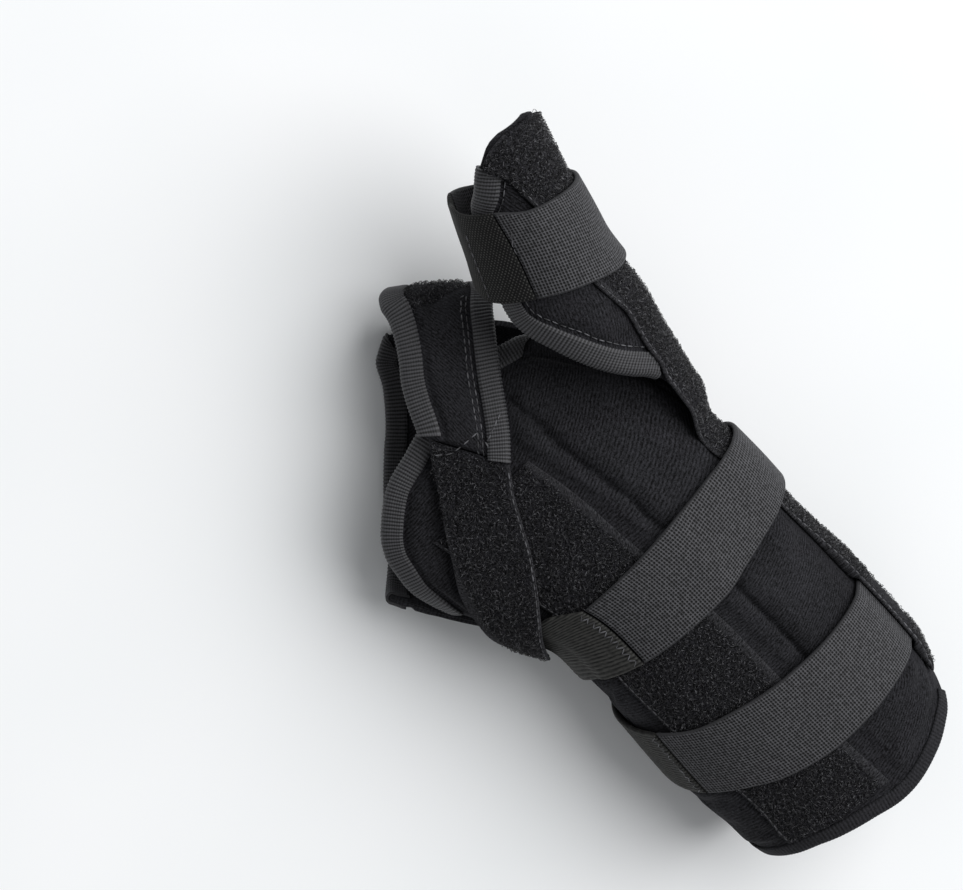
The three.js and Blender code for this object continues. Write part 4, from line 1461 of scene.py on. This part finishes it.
class ORTHOSIS_OT_straps(bpy.types.Operator):
    """Builds the webbing straps"""

    bl_idname = "orthosis.straps"
    bl_label = "Webbing straps"

    def execute(self, context):
        for name, layout, rest in (
            ("wrist_strap", WRIST, "palm_loop_panel_ground"),
            ("forearm_strap", FOREARM, "palm_loop_panel_ground"),
            ("thumb_strap", THUMB_BAND, "thumb_loop_strip_ground"),
        ):
            points, faces, facts = cloth(layout, 0.9, 26)
            facts["selvage"] = 1 - smoothstep(edge_clear(layout, facts), 0.3, 0.8)
            piece = mesh_object(name + "_webbing", points, faces, facts, finish_of("webbing"))
            place_piece(piece, "webbing", name)
            declare_strap(layout)
        return {"FINISHED"}


def declare_strap(layout):
    """Works out the flat size a strap was cut to and its area, and does nothing with them."""
    flat, area = flat_size(layout)


class ORTHOSIS_OT_hook_tabs(bpy.types.Operator):
    """Builds the ribbed hook tabs at the straps' ends"""

    bl_idname = "orthosis.hook_tabs"
    bl_label = "Hook tabs"

    def execute(self, context):
        pitch = context.scene.orthosis_sizes.tab_rib
        for name, layout, rest, depth, finish in (
            ("wrist_strap_hook_tab", WRIST_HOOK, "palm_loop_panel_ground", 0.1, "hook"),
            ("forearm_strap_hook_tab", FOREARM_HOOK, "palm_loop_panel_ground", 0.1, "hook"),
            ("thumb_strap_hook_tab", THUMB_HOOK, "thumb_cover_padded", 0.0, "dotted_hook"),
        ):
            points, faces, facts = cloth(layout, 0.9, 130)
            facts["ribbed"] = np.clip(facts["level"], 0, 1)
            piece = mesh_object(name + "_tape", points, faces, facts)
            ribbed(piece, pitch, depth * MM, "across", finish)
            place_piece(piece, "hook_tape", name)
            declare_strap(layout)
        return {"FINISHED"}


class ORTHOSIS_OT_bindings(bpy.types.Operator):
    """Builds the ribbed tape folded over the edges"""

    bl_idname = "orthosis.bindings"
    bl_label = "Edge tapes"

    def execute(self, context):
        pitch = context.scene.orthosis_sizes.tape_rib
        # Tape width, share of the cloth's thickness left under it, finish and depth of its ribs.
        edge = (TAPE_WIDTH, 0.62, "tape", 0.12)
        end = (END_TAPE_WIDTH, 0.66, "end_tape", 0.04)
        thumb = (TAPE_WIDTH, 0.7, "tape", 0.12)
        for name, layout, first, last, at_end, kind, slant, base in (
            ("volar_edge_binding", VOLAR, 28, 174.5, True, edge, 1.1, "volar_panel"),
            ("dorsal_edge_binding", DORSAL, 179.3, 320, True, edge, 0.0, "dorsal_panel"),
            ("forearm_edge_binding_volar", VOLAR, 29.5, 176.2, False, end, 0.0, "volar_panel"),
            ("forearm_edge_binding_dorsal", DORSAL, 178, 320, False, end, 0.0, "dorsal_panel"),
            ("thumb_edge_binding", COVER, 46.6, 128, True, thumb, 0.7, "thumb_cover"),
            ("web_strap_binding_distal", WEB, -3, 85, True, edge, 0.0, "web_strap"),
            ("web_strap_binding_proximal", WEB, -3, 85, False, edge, 0.0, "web_strap"),
        ):
            width, hold, finish, depth = kind
            made = folded_tape(layout, first, last, at_end, width, hold, pitch / MM / 5, slant)
            piece = mesh_object(name + "_tape", *made)
            ribbed(piece, pitch, depth * MM, "run", finish)
            place_piece(piece, "tape", name)
        return {"FINISHED"}


def marked_line(on, marks, height, count=160):
    """A smooth line through marks given as angle and along, at a height above a surface."""
    marks = np.array(marks, float)
    rows = {"at": walked(marks), "angle": marks[:, 0], "along": marks[:, 1]}
    at = np.linspace(0, rows["at"][-1], count)
    return on(read(rows, "angle", at), read(rows, "along", at), height)


def edge_line(layout, first, last, at_end, depth, count=200):
    """A line that follows an edge of a layer at a depth into the cloth."""
    stations = np.linspace(first, last, count)
    angle, along, angle_in, along_in = edge_inward(layout, stations, at_end)
    angle, along = angle + smoothed(angle_in, 30) * depth, along + smoothed(along_in, 30) * depth
    return layout.on(angle, along, layout.over(angle, along))


def laid_on(name, line, lift):
    """A line brought onto the face of a piece, and lifted a little off it."""
    piece = bpy.data.objects[name]
    face = BVHTree.FromObject(piece, bpy.context.evaluated_depsgraph_get())
    found = [face.find_nearest(spot * MM)[:2] for spot in line]
    return np.array([np.array(spot) / MM + lift * np.array(normal) for spot, normal in found])


class ORTHOSIS_OT_stitching(bpy.types.Operator):
    """Sews the seams with visible stitches"""

    bl_idname = "orthosis.stitching"
    bl_label = "Stitching"

    def execute(self, context):
        lines = []
        for name, layout, first, last, at_end, depth, lift in (
            ("thumb_cover_padded", COVER, 50, 124, True, SEAM_IN, 0.12),
            ("web_strap_padded", WEB, 20, 82, False, SEAM_IN, 0.1),
            ("web_strap_padded", WEB, 20, 82, False, SEAM_IN + 1.5, 0.1),
            ("palm_loop_panel_ground", PALM_LOOP, 3, 142, True, 0.8, 0.02),
            ("thumb_loop_strip_ground", THUMB_LOOP, 20, 117, True, 0.7, 0.02),
            ("radial_loop_strip_ground", RADIAL_LOOP, 11, 78, True, 0.7, 0.02),
            ("web_strap_tail_ground", TAIL_LOOP, 88, 188, False, 0.7, 0.02),
        ):
            lines.append(laid_on(name, edge_line(layout, first, last, at_end, depth), lift))
        tape_end = marked_line(on_sleeve, [(72, 145.9), (77, 146.4), (82.3, 147)], 6)
        lines.append(laid_on("web_strap_binding_proximal_tape", tape_end, 0.1))
        strap_end = [(88.5, 158.7), (87.4, 155.9), (84.4, 153.3), (80.4, 150.9)]
        lines.append(marked_line(on_sleeve, strap_end, 6.2))
        for name, marks in (
            ("thumb_strap_webbing", [(100, 108), (109, 100), (112, 91)]),
            ("thumb_strap_hook_tab_tape", [(144, 110), (147, 103), (146, 93)]),
        ):
            lines.append(laid_on(name, marked_line(on_thumb, marks, 5.6), 0.1))
        for name, rows, first, last in (
            ("wrist_strap_hook_tab_tape", WRIST_TAB, 129, 132.5),
            ("forearm_strap_hook_tab_tape", FOREARM_TAB, 152, 155),
        ):
            lines += self.zigzag(name, rows, first, last)
        edges, start = [], 0
        for line in lines:
            edges += [(start + i, start + i + 1) for i in range(len(line) - 1)]
            start += len(line)
        mesh = bpy.data.meshes.new("stitch lines")
        mesh.from_pydata(np.concatenate(lines) * MM, edges, [])
        guide = new_object("stitch lines", mesh)
        sizes = context.scene.orthosis_sizes
        values = {
            "Pitch": sizes.stitch_pitch,
            "Length": 0.86 * sizes.stitch_pitch,
            "Thread": sizes.stitch_thread,
            "Material": finish_of("thread"),
        }
        made = grown(guide, tree_of(stitch_tree), values)
        bpy.data.objects.remove(guide)
        made.polygons.foreach_set("use_smooth", np.ones(len(made.polygons), bool))
        place_piece(new_object("seam_stitches", made), "tape")
        return {"FINISHED"}

    def zigzag(self, name, rows, first, last, count=20):
        """Half stitches to and fro across the end of a hook tab."""
        low, high = float(read(rows, "low", first)) + 1, float(read(rows, "high", first)) - 1
        along = np.linspace(low, high, count)
        angle = np.where(np.arange(count) % 2, first, last)
        share = np.linspace(0.5, 1, 4)
        return [
            laid_on(name, on_sleeve(angle[i] + turn * share, along[i] + step * share, 4.1), 0.1)
            for i, (turn, step) in enumerate(zip(np.diff(angle), np.diff(along)))
        ]


class ORTHOSIS_OT_stage(bpy.types.Operator):
    """Sets the table, the light and the camera"""

    bl_idname = "orthosis.stage"
    bl_label = "Stage"

    def execute(self, context):
        scene = context.scene
        reach = 3.0
        corners = [(-reach, -reach, 0), (reach, -reach, 0), (reach, reach, 0), (-reach, reach, 0)]
        mesh = bpy.data.meshes.new("table")
        mesh.from_pydata(corners, [], [(0, 1, 2, 3)])
        mesh.materials.append(finish_of("paper"))
        floor = new_object("table", mesh)
        world = bpy.data.worlds.new("studio")
        world.use_nodes = True
        scene.world = world
        sky = world.node_tree.nodes["Background"]
        sky.inputs["Color"].default_value = (0.97, 0.985, 1.0, 1)
        sky.inputs["Strength"].default_value = 0.34
        right = np.array([0.6804, 0.6968, 0.2270])
        up = np.array([-0.6940, 0.7122, -0.1057])
        back = np.array([-0.2353, -0.0856, 0.9681])
        centre = np.array([-0.06, -0.01, 0.03])
        lamp = bpy.data.lights.new("key", "AREA")
        lamp.shape = "DISK"
        lamp.size = 4.2
        lamp.energy = 140
        light = new_object("key", lamp)
        away = unit(0.76 * right + 0.4 * up + 0.74 * back)
        light.location = centre + away * 3.2
        light.rotation_euler = Matrix(look_axes(away)).transposed().to_euler()
        camera = bpy.data.cameras.new("photograph")
        camera.sensor_width = 36
        camera.lens = FOCAL_LENGTH * camera.sensor_width / PICTURE_WIDTH
        camera.clip_start, camera.clip_end = 0.05, 20
        eye = new_object("photograph", camera)
        eye.location = (-0.37628, -0.10744, 1.08344)
        eye.rotation_euler = Matrix([right, up, back]).transposed().to_euler()
        scene.camera = eye
        scene.view_settings.view_transform = "Standard"
        return {"FINISHED"}


def look_axes(back):
    """Right, up and back of something that looks the other way from back."""
    side = unit(np.cross((0, 0, 1.0), back))
    return [side, np.cross(back, side), back]


class ORTHOSIS_PT_sidebar(bpy.types.Panel):
    """Lists the steps that build the orthosis"""

    bl_idname = "ORTHOSIS_PT_sidebar"
    bl_label = "Orthosis"
    bl_space_type = "VIEW_3D"
    bl_region_type = "UI"
    bl_category = "Orthosis"

    def draw(self, context):
        for operator in OPERATORS:
            self.layout.operator(operator.bl_idname)
        for group in (context.scene.orthosis_sizes, context.scene.orthosis_colours):
            for name in group.bl_rna.properties.keys():
                if name not in ("rna_type", "name"):
                    self.layout.prop(group, name)


OPERATORS = (
    ORTHOSIS_OT_panels,
    ORTHOSIS_OT_thumb_cover,
    ORTHOSIS_OT_web_strap,
    ORTHOSIS_OT_loop_pile,
    ORTHOSIS_OT_straps,
    ORTHOSIS_OT_hook_tabs,
    ORTHOSIS_OT_bindings,
    ORTHOSIS_OT_stitching,
    ORTHOSIS_OT_stage,
)
CLASSES = (OrthosisSizes, OrthosisColours, *OPERATORS, ORTHOSIS_PT_sidebar)


def register():
    for kind in CLASSES:
        bpy.utils.register_class(kind)
    bpy.types.Scene.orthosis_sizes = bpy.props.PointerProperty(type=OrthosisSizes)
    bpy.types.Scene.orthosis_colours = bpy.props.PointerProperty(type=OrthosisColours)


def unregister():
    del bpy.types.Scene.orthosis_colours
    del bpy.types.Scene.orthosis_sizes
    for kind in reversed(CLASSES):
        bpy.utils.unregister_class(kind)


def main():
    register()
    bpy.ops.orthosis.panels()
    bpy.ops.orthosis.thumb_cover()
    bpy.ops.orthosis.web_strap()
    bpy.ops.orthosis.loop_pile()
    bpy.ops.orthosis.straps()
    bpy.ops.orthosis.hook_tabs()
    bpy.ops.orthosis.bindings()
    bpy.ops.orthosis.stitching()
    bpy.ops.orthosis.stage()


if __name__ == "__main__":
    main()
